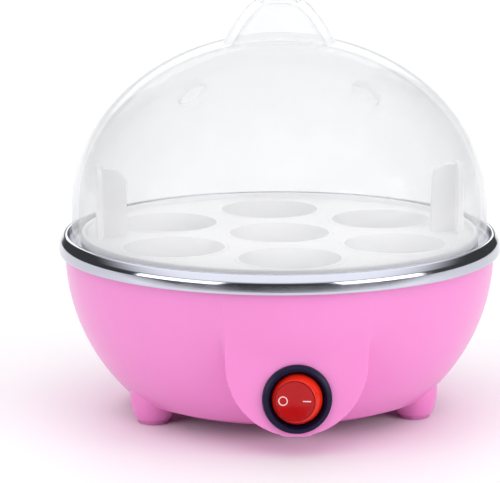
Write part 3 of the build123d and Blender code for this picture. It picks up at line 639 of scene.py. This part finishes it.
def housing_columns():
    """Closed section loops of the housing, closer together round the switch boss."""
    wall = sizes().housing_wall
    top, bottom = HOUSING[1].z, BOWL_BOTTOM
    floor_top, shelf, corner = bottom + wall, top - SHELF_THICKNESS, 0.5 * MM
    rows, close_columns, wide_columns, inner_rows = 96, 130, 250, 24
    angles = [-pi / 2 - BOSS_SPAN + 2 * BOSS_SPAN * n / close_columns for n in range(close_columns)]
    angles += [-pi / 2 + BOSS_SPAN + (TURN - 2 * BOSS_SPAN) * n / wide_columns for n in range(wide_columns)]
    columns = []
    low = bottom + corner
    heights = [low + (top - low) * (1 - row / rows) ** 1.5 for row in range(rows + 1)]
    for angle in angles:
        outside = [(boss_radius_at(angle, height), height) for height in heights]
        outside.append((outside[-1][0] - corner, bottom))
        inside = [(COVER_OPENING, bottom), (COVER_OPENING, floor_top)]
        for row in range(inner_rows + 1):
            height = floor_top + (shelf - floor_top) * row / inner_rows
            inside.append((bowl_radius_at(height, wall), height))
        inside += [(SHELF_OPENING, shelf), (SHELF_OPENING, top)]
        columns.append([(r * cos(angle), r * sin(angle), z) for r, z in outside + inside])
    return columns


def plug(radius, low, high):
    """Profile of a plain round cutter."""
    return (0, low), (radius, low), (radius, high), (0, high)


def gland_place(depth):
    """A matrix whose z axis looks out of the gland, that far in from its outer end."""
    low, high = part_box("cord_gland")
    middle = Vector((0, high.y - depth, (low.z + high.z) / 2))
    return Matrix.Translation(middle) @ Matrix.Rotation(-pi / 2, 4, "X")


class EGG_OT_housing(bpy.types.Operator):
    """Makes the pink bowl with its switch boss, foot lobes and rear gland pad"""

    bl_idname = "egg_cooker.housing"
    bl_label = "Housing"

    def execute(self, context):
        bm = bmesh.new()
        loop_mesh(bm, housing_columns())
        housing = new_object("housing_bowl", bm, 50)
        for x in (-FOOT_X, FOOT_X):
            for y in (-FOOT_Y, FOOT_Y):
                combine(housing, self.foot(x, y), "UNION")
        back = gland_place(GLAND_FLANGE)
        pad_radius, pad_base, pad_depth, gland_hole = 9.5 * MM, 10.5 * MM, 18 * MM, 5.1 * MM
        pad = ((0, 0), (pad_radius, 0), (pad_base, -pad_depth), (0, -pad_depth))
        combine(housing, turned("gland_pad", rounded_path(pad, (0.8 * MM, 0.0)), 64, back), "UNION")
        for name, radius, low, high, segments, matrix in (
            ("gland_hole", gland_hole, -30 * MM, 1 * MM, 64, back),
            ("switch_hole", SWITCH_HOLE, -24 * MM, 4 * MM, 96, PANEL),
        ):
            combine(housing, turned(name, plug(radius, low, high), segments, matrix), "DIFFERENCE")
        reshade(housing, 38)
        finish_piece(housing, housing_plastic(), ["base_housing"], "base")
        return {"FINISHED"}

    def foot(self, x, y):
        """One foot lobe: round at the floor, wider and further in as it nears the bowl."""
        outwards = Vector((x, y, 0)).normalized()
        start = Vector((x, y, HOUSING[0].z + 0.02 * MM))
        outlines = []
        for rise, inwards, radius in FOOT_SECTIONS:
            centre = start + Vector((0, 0, rise * MM)) - outwards * inwards * MM
            outlines.append(circle(centre, radius * MM, 56))
        return lofted("foot", outlines)


class EGG_OT_underside(bpy.types.Operator):
    """Makes the rubber feet and the cover's screws, repeated by geometry nodes"""

    bl_idname = "egg_cooker.underside"
    bl_label = "Feet and screws"

    def execute(self, context):
        self.rubber_feet()
        self.cover_screws()
        return {"FINISHED"}

    def rubber_feet(self):
        """Four round pads with a shallow dish in the sole."""
        rubber = moulded_plastic("pad_rubber", shade(colours().housing, 0.8), 0.7, 1500, 0.08 * MM)
        top, dish_depth, dish, sole = PADS[1].z, 0.35 * MM, 3.2 * MM, 3.7 * MM
        outline = (
            (0, dish_depth), (dish, dish_depth), (sole, 0), (PAD_RADIUS, 0), (PAD_RADIUS, top), (0, top))
        pads = turned("rubber_feet", rounded_path(outline, (0.2 * MM, 0.2 * MM, 0.7 * MM, 0.0)), 48)
        repeated(pads, repeat_tree("feet_at_corners", corner_points), 2 * FOOT_X, 2 * FOOT_Y, 0, rubber)
        finish_piece(pads, rubber, ["foot_pads"], "base")

    def cover_screws(self):
        """Four cross-head screws with ridged shanks."""
        zinc = metal("zinc_plate", (0.62, 0.64, 0.68), 0.32, 3000)
        low, top = COVER[0].z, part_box("bottom_screws")[1].z
        head, shank, head_low, head_top = 2.8 * MM, 1.25 * MM, low + 0.15 * MM, low + 1.5 * MM
        body = rounded_path(
            ((0, head_low), (head, head_low), (head, head_top), (shank, head_top)), (0.5 * MM, 0.15 * MM))
        pitch, ridge, first, point = 1.1 * MM, 0.16 * MM, low + 2 * MM, 0.3 * MM
        for turn in range(int((top - first - 1 * MM) / pitch)):
            start = first + turn * pitch
            body += [Vector((shank - ridge, start)), Vector((shank, start + pitch / 2))]
        body += [Vector((point, top - 0.2 * MM)), Vector((0, top))]
        screws = turned("cover_screws", body, 32)
        for quarter in (0, pi / 2):
            turn = Matrix.Rotation(quarter, 4, "Z")
            mouth = rounded_rectangle(3.4 * MM, 0.7 * MM, 0.15 * MM, low - 0.2 * MM, 3, turn)
            floor = rounded_rectangle(2.4 * MM, 0.5 * MM, 0.12 * MM, low + 1.0 * MM, 3, turn)
            combine(screws, lofted("slot", [mouth, floor]), "DIFFERENCE")
        reshade(screws)
        repeated(screws, repeat_tree("screws_on_circle", ring_points), 42 * MM, pi / 4, 4, zinc)
        finish_piece(screws, zinc, ["bottom_screws"], "base")


class EGG_OT_pan(bpy.types.Operator):
    """Makes the steel water pan with its ledge and rolled rim"""

    bl_idname = "egg_cooker.pan"
    bl_label = "Water pan"

    def execute(self, context):
        wall = sizes().pan_wall
        rim, top, floor = RIM[1].x, RIM[1].z, RIM[0].z + wall
        ledge, well, inside = top - LEDGE_DEPTH, 63 * MM, rim - sizes().bead_width
        low = top - 1.7 * MM - sizes().band_height
        # radius and height of each corner, and its rounding in millimetres
        corners = (
            (0, floor, 0), (20 * MM, floor, 0), (well, floor, 6), (well + 1 * MM, ledge, 1),
            (inside, ledge, 1), (inside, top, 0.5), (rim - 2.1 * MM, top, 1.05),
            (rim - 0.34 * MM, low + 3.7 * MM, 3.2),
            (rim, low + 0.7 * MM, 0.6), (rim - 0.2 * MM, low, 0))
        radii = [corner[2] * MM for corner in corners[1:-1]]
        path = rounded_path([corner[:2] for corner in corners], radii, 8)
        under = moved_sideways(path, wall)
        under[0] = Vector((0, floor - wall))
        pan = turned("spun_pan", path + list(reversed(under)), crease=40)
        finish_piece(pan, spun_steel(), ["water_pan"], "base")
        return {"FINISHED"}


class EGG_OT_gland(bpy.types.Operator):
    """Makes the rear cord gland, a flanged bushing"""

    bl_idname = "egg_cooker.gland"
    bl_label = "Cord gland"

    def execute(self, context):
        low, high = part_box("cord_gland")
        length, bore, barrel, flange = high.y - low.y, 3.3 * MM, 5.0 * MM, 7.6 * MM
        outline = (
            (bore, -length), (barrel, -length), (barrel, -GLAND_FLANGE), (flange, -GLAND_FLANGE),
            (flange, -0.9 * MM), (flange - 2 * MM, 0), (bore + 0.6 * MM, 0), (bore, -0.8 * MM))
        profile = rounded_path(outline, (0.4 * MM, 0.3 * MM, 0.4 * MM, 0.8 * MM, 0.5 * MM, 0.4 * MM))
        gland = turned("cord_bushing", profile, 96, gland_place(0.0))
        finish_piece(gland, black_plastic("gland_plastic"), ["cord_gland"], "base")
        return {"FINISHED"}


# ---------------- switch
class EGG_OT_switch(bpy.types.Operator):
    """Makes the switch's round surround, its rocker and the O and I marks"""

    bl_idname = "egg_cooker.switch"
    bl_label = "Switch"

    radius = 8.4 * MM
    face, back, dish = 5.0 * MM, 3.4 * MM, 0.1 * MM

    def execute(self, context):
        self.surround()
        self.rocker()
        self.marks()
        return {"FINISHED"}

    def surround(self):
        """The bezel with its round mouth, and the barrel behind it."""
        mouth, outer, crest, rise = 8.75 * MM, 11.5 * MM, 10.0 * MM, 2.3 * MM
        floor, depth, foot = -13 * MM, -16 * MM, 0.02 * MM
        outline = (
            (0, floor), (mouth, floor), (mouth, rise - 1.3 * MM), (mouth + 0.9 * MM, rise - 0.1 * MM),
            (crest, rise), (outer - 0.3 * MM, rise - 0.7 * MM), (outer, foot), (crest, foot),
            (crest, depth), (0, depth))
        radii = (0.4 * MM, 0.3 * MM, 0.4 * MM, 1.0 * MM, 0.5 * MM, 0.1 * MM, 0.2 * MM, 0.4 * MM)
        surround = turned("switch_surround", rounded_path(outline, radii), 160, PANEL)
        black = moulded_plastic(
            "bezel_plastic", colours().bezel, 0.3, 2600, 0.02 * MM, {"Specular IOR Level": 0.2})
        finish_piece(surround, black, ["switch_body"], "base")

    def rocker(self):
        """The cap: a slightly dished face inside a fine groove, and a side cut from a ball."""
        radius, face, back = self.radius, self.face, self.back
        start, end = asin(face / radius), asin(-back / radius)
        edge = radius * cos(start)
        # distances in from the edge and down from the face, in millimetres
        face_line = (
            (0.75, self.dish / MM), (0.55, 0.01), (0.43, 0.02), (0.38, 0.5), (0.13, 0.5), (0.06, 0.1))
        profile = [Vector((0, face - self.dish))]
        profile += [Vector((edge - inwards * MM, face - down * MM)) for inwards, down in face_line]
        for step in range(22):
            angle = start - 0.05 + (end - start + 0.05) * step / 21
            profile.append(Vector((radius * cos(angle), radius * sin(angle))))
        profile += [Vector((radius * cos(end) - 1 * MM, -back)), Vector((0, -back))]
        rocker = turned("rocker_cap", profile, 160, ROCKER, 30)
        # Painted light: vertices on the ball-cut side get a value that is highest towards LIT_SIDE, and the
        # material paints them a lighter red there.
        side = rocker.data.attributes.new("side", "FLOAT", "POINT")
        away = ROCKER.inverted()
        for vertex, value in zip(rocker.data.vertices, side.data):
            flat = (away @ vertex.co).xy
            if flat.length > edge - 0.1 * MM:
                value.value = 0.2 + 0.8 * soft_step(0.5 + 0.6 * flat.normalized().dot(LIT_SIDE))
        finish_piece(rocker, rocker_plastic(), ["switch_rocker"], "rocker")

    def marks(self):
        """A ring for off and a bar for on, raised a little from the face."""
        line, ring, reach = 0.17 * MM, 1.38 * MM, 3.9 * MM
        level = self.face - self.dish + 0.02 * MM
        low, high = level - 0.1 * MM, level + 0.05 * MM
        bm = bmesh.new()
        section = [(ring - line, low), (ring - line, level), (ring - line * 0.5, high),
                   (ring + line * 0.5, high), (ring + line, level), (ring + line, low)]
        spin(bm, section, 48, ROCKER @ Matrix.Translation((-reach, 0, 0)))
        bar = ROCKER @ Matrix.Translation((reach, 0, 0))
        loft(bm, [
            rounded_rectangle(2.7 * MM, 2 * line, line * 0.9, low, 5, bar),
            rounded_rectangle(2.7 * MM, 2 * line, line * 0.9, level, 5, bar),
            rounded_rectangle(2.55 * MM, 1.5 * line, line * 0.7, high, 5, bar)])
        paint = moulded_plastic("mark_paint", (0.92, 0.66, 0.68), 0.45, 3000, 0.02 * MM)
        finish_piece(new_object("rocker_symbols", bm), paint, ["rocker_marks"], "rocker")


# ---------------- tray
TRAY_LOW = RIM[1].z - LEDGE_DEPTH + 0.3 * MM
TRAY_TOP = TRAY_LOW + 1.6 * MM


class EGG_OT_tray(bpy.types.Operator):
    """Makes the egg tray: a rimmed plate, seats repeated by geometry nodes, and two handles"""

    bl_idname = "egg_cooker.tray"
    bl_label = "Egg tray"

    def execute(self, context):
        white = tray_plastic()
        radius, edge_top, circle_radius = TRAY[1].x, TRAY_LOW + 3.2 * MM, sizes().seat_circle
        outline = ((0, TRAY_LOW), (radius, TRAY_LOW), (radius, edge_top), (radius - 1.5 * MM, edge_top),
                   (radius - 1.9 * MM, TRAY_TOP), (0, TRAY_TOP))
        tray = turned("tray_plate", rounded_path(outline, (0.5 * MM, 0.6 * MM, 0.6 * MM, 0.8 * MM)), 192)
        tree = repeat_tree("seats_round_middle", ring_and_middle)
        mouth = sizes().seat_radius + 0.4 * MM
        for name, profile, operation in (
            ("seat_cut", plug(mouth, TRAY_LOW - 2 * MM, TRAY_TOP + 2 * MM), "DIFFERENCE"),
            ("seat_cups", self.seat(), "UNION"),
        ):
            tool = turned(name, profile, 96)
            repeated(tool, tree, circle_radius, -pi / 2, 6, white)
            combine(tray, tool, operation)
        for side in (-1, 1):
            for part in self.handle(side):
                combine(tray, part, "UNION")
        reshade(tray)
        finish_piece(tray, white, ["egg_tray"], "tray")
        return {"FINISHED"}

    def seat(self):
        """Closed section of one seat: a cone from its mouth down to its open bottom."""
        mouth, low_mouth, wall = sizes().seat_radius, 11.5 * MM, 1.6 * MM
        lip, low = TRAY_TOP + 0.25 * MM, TRAY_TOP - 7 * MM
        slope = (
            (mouth, lip), (mouth + 1.5 * MM, lip), (mouth + 1.9 * MM, TRAY_TOP - 1.5 * MM),
            (low_mouth + wall, low), (low_mouth, low), (mouth, lip))
        return rounded_path(slope, [0.5 * MM] * 4, 4)[:-1]

    def handle(self, side):
        """The plate and the rib of one handle."""
        outer, thick, bevel, half, top = 62.6 * MM, 2.2 * MM, 0.35 * MM, 7 * MM, TRAY[1].z
        plate = []
        for depth, inset in ((0, bevel), (0.4 * MM, 0), (1.8 * MM, 0), (thick, bevel)):
            wide, head = half - inset, top - inset
            outline = rounded_path(
                ((-wide, TRAY_LOW), (-wide, head), (wide, head), (wide, TRAY_LOW)), (4 * MM, 4 * MM), 8)
            plate.append([(side * (outer - depth), point.x, point.y) for point in outline])
        rib_inner, rib_outer, rib_top = 52.2 * MM, outer - 1 * MM, top - 0.6 * MM
        ribs = []
        for y, inset in ((-1.1 * MM, 0.3 * MM), (-0.8 * MM, 0), (0.8 * MM, 0), (1.1 * MM, 0.3 * MM)):
            near, head = rib_inner + inset, rib_top - inset
            outline = rounded_path(
                ((rib_outer, TRAY_LOW), (rib_outer, head), (near, head), (near, TRAY_LOW)),
                (0.0, 6 * MM), 10)
            ribs.append([(side * point.x, y, point.y) for point in outline])
        return lofted("handle_plate", plate), lofted("handle_rib", ribs)


# ---------------- lid
class EGG_OT_lid(bpy.types.Operator):
    """Makes the clear dome with its lip, moulded grip and two steam holes"""

    bl_idname = "egg_cooker.lid"
    bl_label = "Lid"

    radius = 71 * MM
    equator = RIM[1].z + 8.3 * MM
    height = 129 * MM - equator
    vent_radius, vent_reach, vent_angle, vent_length = 4.2 * MM, 45.5 * MM, radians(39.6), 1.4

    def execute(self, context):
        base, peak, lip, wall = LID[0].z, LID[1].z, LID[1].x, sizes().lid_wall
        radius, equator, height = self.radius, self.equator, self.height
        shells = ((radius, height, 1), (radius - wall, height - 3 * MM, -1))
        outside = rounded_path(
            ((0, base), (lip, base), (lip, base + 1.4 * MM), (radius, base + 2.4 * MM), (radius, equator)),
            (0.4 * MM, 0.4 * MM, 0.8 * MM), 4)
        lid = turned("clear_dome", outside[:-1] + self.section(radius, height))
        combine(lid, self.grip("grip", 0.0, 122.5 * MM, peak - 0.02 * MM), "UNION")
        below = base - 1 * MM
        hollow = [Vector((0, below)), Vector((radius - wall, below))] + self.section(*shells[1][:2])
        combine(lid, turned("hollow", hollow), "DIFFERENCE")
        combine(lid, self.grip("grip_hollow", 1.9 * MM, 119.5 * MM, peak - 2.0 * MM), "DIFFERENCE")
        for angle in (-self.vent_angle, self.vent_angle):
            combine(lid, self.vent(angle), "DIFFERENCE")
        reshade(lid, 32)
        self.smooth_shells(lid, shells)
        finish_piece(lid, clear_plastic(), ["lid"], "lid")
        return {"FINISHED"}

    def section(self, radius, height):
        """Quarter ellipse from the equator to the crown."""
        steps = 56
        angles = [pi / 2 * n / steps for n in range(steps)]
        curve = [Vector((radius * cos(a), self.equator + height * sin(a))) for a in angles]
        return curve + [Vector((0, self.equator + height))]

    def vent(self, angle):
        """Cutter for a steam hole, square to the dome and a little longer down the slope."""
        share = self.vent_reach / self.radius
        level = sqrt(1 - share**2)
        lean = atan2(self.height * share, self.radius * level)
        matrix = (
            Matrix.Rotation(angle - pi / 2 + LID_TURN, 4, "Z")
            @ Matrix.Translation((self.vent_reach, 0, self.equator + self.height * level))
            @ Matrix.Rotation(lean, 4, "Y") @ Matrix.Diagonal((self.vent_length, 1, 1, 1)))
        return turned("vent", plug(self.vent_radius, -7 * MM, 5 * MM), 64, matrix)

    def smooth_shells(self, lid, shells):
        """Gives the dome's two surfaces their true normals, so that cuts leave no dents in the gloss."""
        mesh, equator = lid.data, self.equator
        normals = [corner.vector.copy() for corner in mesh.corner_normals]
        for face in mesh.polygons:
            points = [mesh.vertices[index].co for index in face.vertices]
            if min(p.z for p in points) < equator + 0.1 * MM:
                continue
            for radius, height, side in shells:
                levels = [(p.x**2 + p.y**2) / radius**2 + (p.z - equator) ** 2 / height**2 for p in points]
                if max(abs(level - 1) for level in levels) > 0.001:
                    continue
                for loop, p in zip(face.loop_indices, points):
                    slope = Vector((p.x / radius**2, p.y / radius**2, (p.z - equator) / height**2))
                    normals[loop] = slope.normalized() * side
        mesh.normals_split_custom_set(normals)

    def grip(self, name, inset, low, high):
        """The grip, or the hollow inside it: a tapered block with round corners and shoulders."""
        depth_low, depth_high, corner, top_corner = 16 * MM, 8.5 * MM, 3 * MM, 2.4 * MM
        round_top = 0.5 * MM if inset else 1.6 * MM
        rows = []
        for step in range(25):
            share = (step / 24) ** 0.7
            width = 12 * MM + 30 * MM * (1 - share) ** 0.62
            depth = depth_low + (depth_high - depth_low) * share
            rows.append((low + (high - low) * share, width - 2 * inset, depth - 2 * inset, corner))
        height, width, depth, _ = rows.pop()
        for step in range(7):
            angle = pi / 2 * step / 6
            pull = 2 * round_top * (1 - cos(angle))
            rows.append((height - round_top * (1 - sin(angle)), width - pull, depth - pull, top_corner))
        turn = Matrix.Rotation(LID_TURN, 4, "Z")
        return lofted(name, [
            rounded_rectangle(w, d, min(c, d / 2 - 0.2 * MM), z, 8, turn) for z, w, d, c in rows])


# ---------------- inner parts and cover
class EGG_OT_inner_parts(bpy.types.Operator):
    """Gives the parts inside the base, and the cover, their own finishes"""

    bl_idname = "egg_cooker.inner_parts"
    bl_label = "Inner parts"

    def execute(self, context):
        finishes = (
            (cover_plastic(), ("bottom_cover",)),
            (metal("tinned_brass", (0.72, 0.58, 0.32), 0.3, 2600),
             ("element_terminals", "thermostat_tabs", "earth_tab", "switch_terminals", "spade_connectors",
              "thermostat_spades", "element_spades", "contact_blade", "rocker_plunger")),
            (metal("plated_strip", (0.6, 0.61, 0.63), 0.36, 2200), ("clamp_strap", "fuse_clip")),
            (metal("cast_aluminium", (0.62, 0.63, 0.65), 0.48, 900, 0.12 * MM),
             ("heat_spreader", "thermostat")),
            (metal("element_sheath", (0.24, 0.22, 0.2), 0.5, 1800), ("heating_element",)),
            (metal("nut_steel", (0.55, 0.56, 0.58), 0.3, 3000),
             ("pan_stud", "stud_nut", "earth_screw", "block_screws", "thermal_fuse")),
            (woven_sleeve(), ("fuse_sleeve",)),
            (self.silicone("brown_silicone", (0.1, 0.035, 0.018)),
             ("live_lead", "switched_lead", "fuse_lead", "element_lead")),
            (self.silicone("blue_silicone", (0.015, 0.06, 0.32)), ("neutral_lead",)),
            (self.silicone("green_silicone", (0.09, 0.3, 0.02)), ("earth_lead",)),
            (black_plastic("nut_plastic"), ("gland_nut",)),
            (moulded_plastic("block_plastic", (0.72, 0.71, 0.66), 0.45, 1500, 0.05 * MM),
             ("terminal_block",)),
            (moulded_plastic("seal_silicone", (0.6, 0.58, 0.57), 0.6, 1800, 0.04 * MM), ("pan_seal",)),
            (moulded_plastic("lamp_glass", (0.8, 0.35, 0.2), 0.1, 2000, 0.01 * MM),
             ("indicator_lamp",)),
        )
        for material, names in finishes:
            for name in names:
                for slot in NODES[name].material_slots:
                    slot.material = material
        return {"FINISHED"}

    def silicone(self, name, colour):
        """Soft cover of a lead."""
        return moulded_plastic(name, colour, 0.55, 2600, 0.03 * MM)


# ---------------- stage
def soft_box(name, azimuth, distance, size, elevation, radiance):
    """A soft rectangular light, aimed at the cooker, with angles in degrees and azimuth from the front."""
    turn, lift = radians(azimuth), radians(elevation)
    width, height = size
    data = bpy.data.lights.new(name, "AREA")
    data.shape, data.size, data.size_y = "RECTANGLE", width, height
    data.energy = radiance * pi * width * height
    lamp = bpy.data.objects.new(name, data)
    away = Vector((sin(turn) * cos(lift), -cos(turn) * cos(lift), sin(lift)))
    lamp.location = away * distance + Vector((0, 0, 0.05))
    lamp.rotation_euler = away.to_track_quat("Z", "Y").to_euler()
    bpy.context.scene.collection.objects.link(lamp)


def studio_world():
    """A white tent overhead that falls to grey round the horizon."""
    world = bpy.data.worlds.new("studio")
    bpy.context.scene.world = world
    world.use_nodes = True
    tree = world.node_tree
    point = place(tree, "ShaderNodeTexCoord", {}).outputs["Generated"]
    height = place(tree, "ShaderNodeSeparateXYZ", {0: point}).outputs["Z"]
    fade = {"Value": height, "From Min": sin(radians(24)), "From Max": sin(radians(50)),
            "To Min": 0.06, "To Max": 1.36}
    light = place(tree, "ShaderNodeMapRange", fade, interpolation_type="SMOOTHSTEP").outputs["Result"]
    give(tree, tree.nodes["Background"], {"Color": (0.985, 0.99, 1.0, 1), "Strength": light})


def stage_floor():
    """A large pale floor with the slightest unevenness."""
    bm = bmesh.new()
    bmesh.ops.create_circle(bm, cap_ends=True, radius=6.0, segments=96)
    floor = new_object("floor", bm)
    material, tree, shader = blank_material("floor_paint")
    cloud = speckle(tree, object_point(tree), 3, 2)
    paint = mixed(tree, cloud, (0.92, 0.92, 0.92, 1), (0.95, 0.95, 0.95, 1))
    give(tree, shader, {"Base Color": paint, "Roughness": 0.6})
    floor.data.materials.append(material)


def stage_camera():
    """The camera, low and a little to the left, far enough for mild perspective."""
    azimuth, elevation, distance = radians(-4.7), radians(11.5), 1.1
    target = Vector((0, 0, RIM[1].z - 4 * MM))
    back = Vector((sin(azimuth) * cos(elevation), -cos(azimuth) * cos(elevation), sin(elevation)))
    data = bpy.data.cameras.new("camera")
    data.sensor_width, data.lens, data.shift_x = 36, 231, -0.059
    data.clip_start, data.clip_end = 0.05, 50
    camera = bpy.data.objects.new("camera", data)
    camera.location = target + back * distance
    camera.rotation_euler = (-back).to_track_quat("-Z", "Y").to_euler()
    bpy.context.scene.collection.objects.link(camera)
    bpy.context.scene.camera = camera


class EGG_OT_stage(bpy.types.Operator):
    """Makes the pale floor, the soft studio light and the camera"""

    bl_idname = "egg_cooker.stage"
    bl_label = "Stage"

    def execute(self, context):
        stage_floor()
        stage_camera()
        studio_world()
        front_size, back_size = (1.15, 0.62), (1.3, 0.7)
        soft_box("left_box", -58, 1.35, front_size, 17, 2.6)
        soft_box("right_box", 49, 1.35, front_size, 17, 3.5)
        soft_box("back_box", 180, 1.6, back_size, 22, 1.6)
        context.scene.view_settings.view_transform = "Standard"
        return {"FINISHED"}


# ---------------- add-on
OPERATORS = (
    EGG_OT_housing, EGG_OT_underside, EGG_OT_pan, EGG_OT_gland, EGG_OT_switch, EGG_OT_tray, EGG_OT_lid,
    EGG_OT_inner_parts, EGG_OT_stage,
)


class EGG_PT_panel(bpy.types.Panel):
    """Lists the settings and the makers of the egg cooker's pieces"""

    bl_idname = "EGG_PT_panel"
    bl_label = "Egg Cooker"
    bl_space_type = "VIEW_3D"
    bl_region_type = "UI"
    bl_category = "Egg Cooker"

    def draw(self, context):
        for group in (context.scene.egg_cooker_sizes, context.scene.egg_cooker_colours):
            column = self.layout.column()
            for name in group.__annotations__:
                column.prop(group, name)
        for operator in OPERATORS:
            self.layout.operator(operator.bl_idname)


CLASSES = (EggCookerSizes, EggCookerColours, *OPERATORS, EGG_PT_panel)


def register():
    """Registers the classes and the scene's settings."""
    for item in CLASSES:
        bpy.utils.register_class(item)
    bpy.types.Scene.egg_cooker_sizes = PointerProperty(type=EggCookerSizes)
    bpy.types.Scene.egg_cooker_colours = PointerProperty(type=EggCookerColours)


def unregister():
    """Removes them again."""
    del bpy.types.Scene.egg_cooker_colours
    del bpy.types.Scene.egg_cooker_sizes
    for item in reversed(CLASSES):
        bpy.utils.unregister_class(item)


def main():
    """Makes every piece in order."""
    register()
    for operator in OPERATORS:
        group, name = operator.bl_idname.split(".")
        getattr(getattr(bpy.ops, group), name)()


if __name__ == "__main__":
    main()
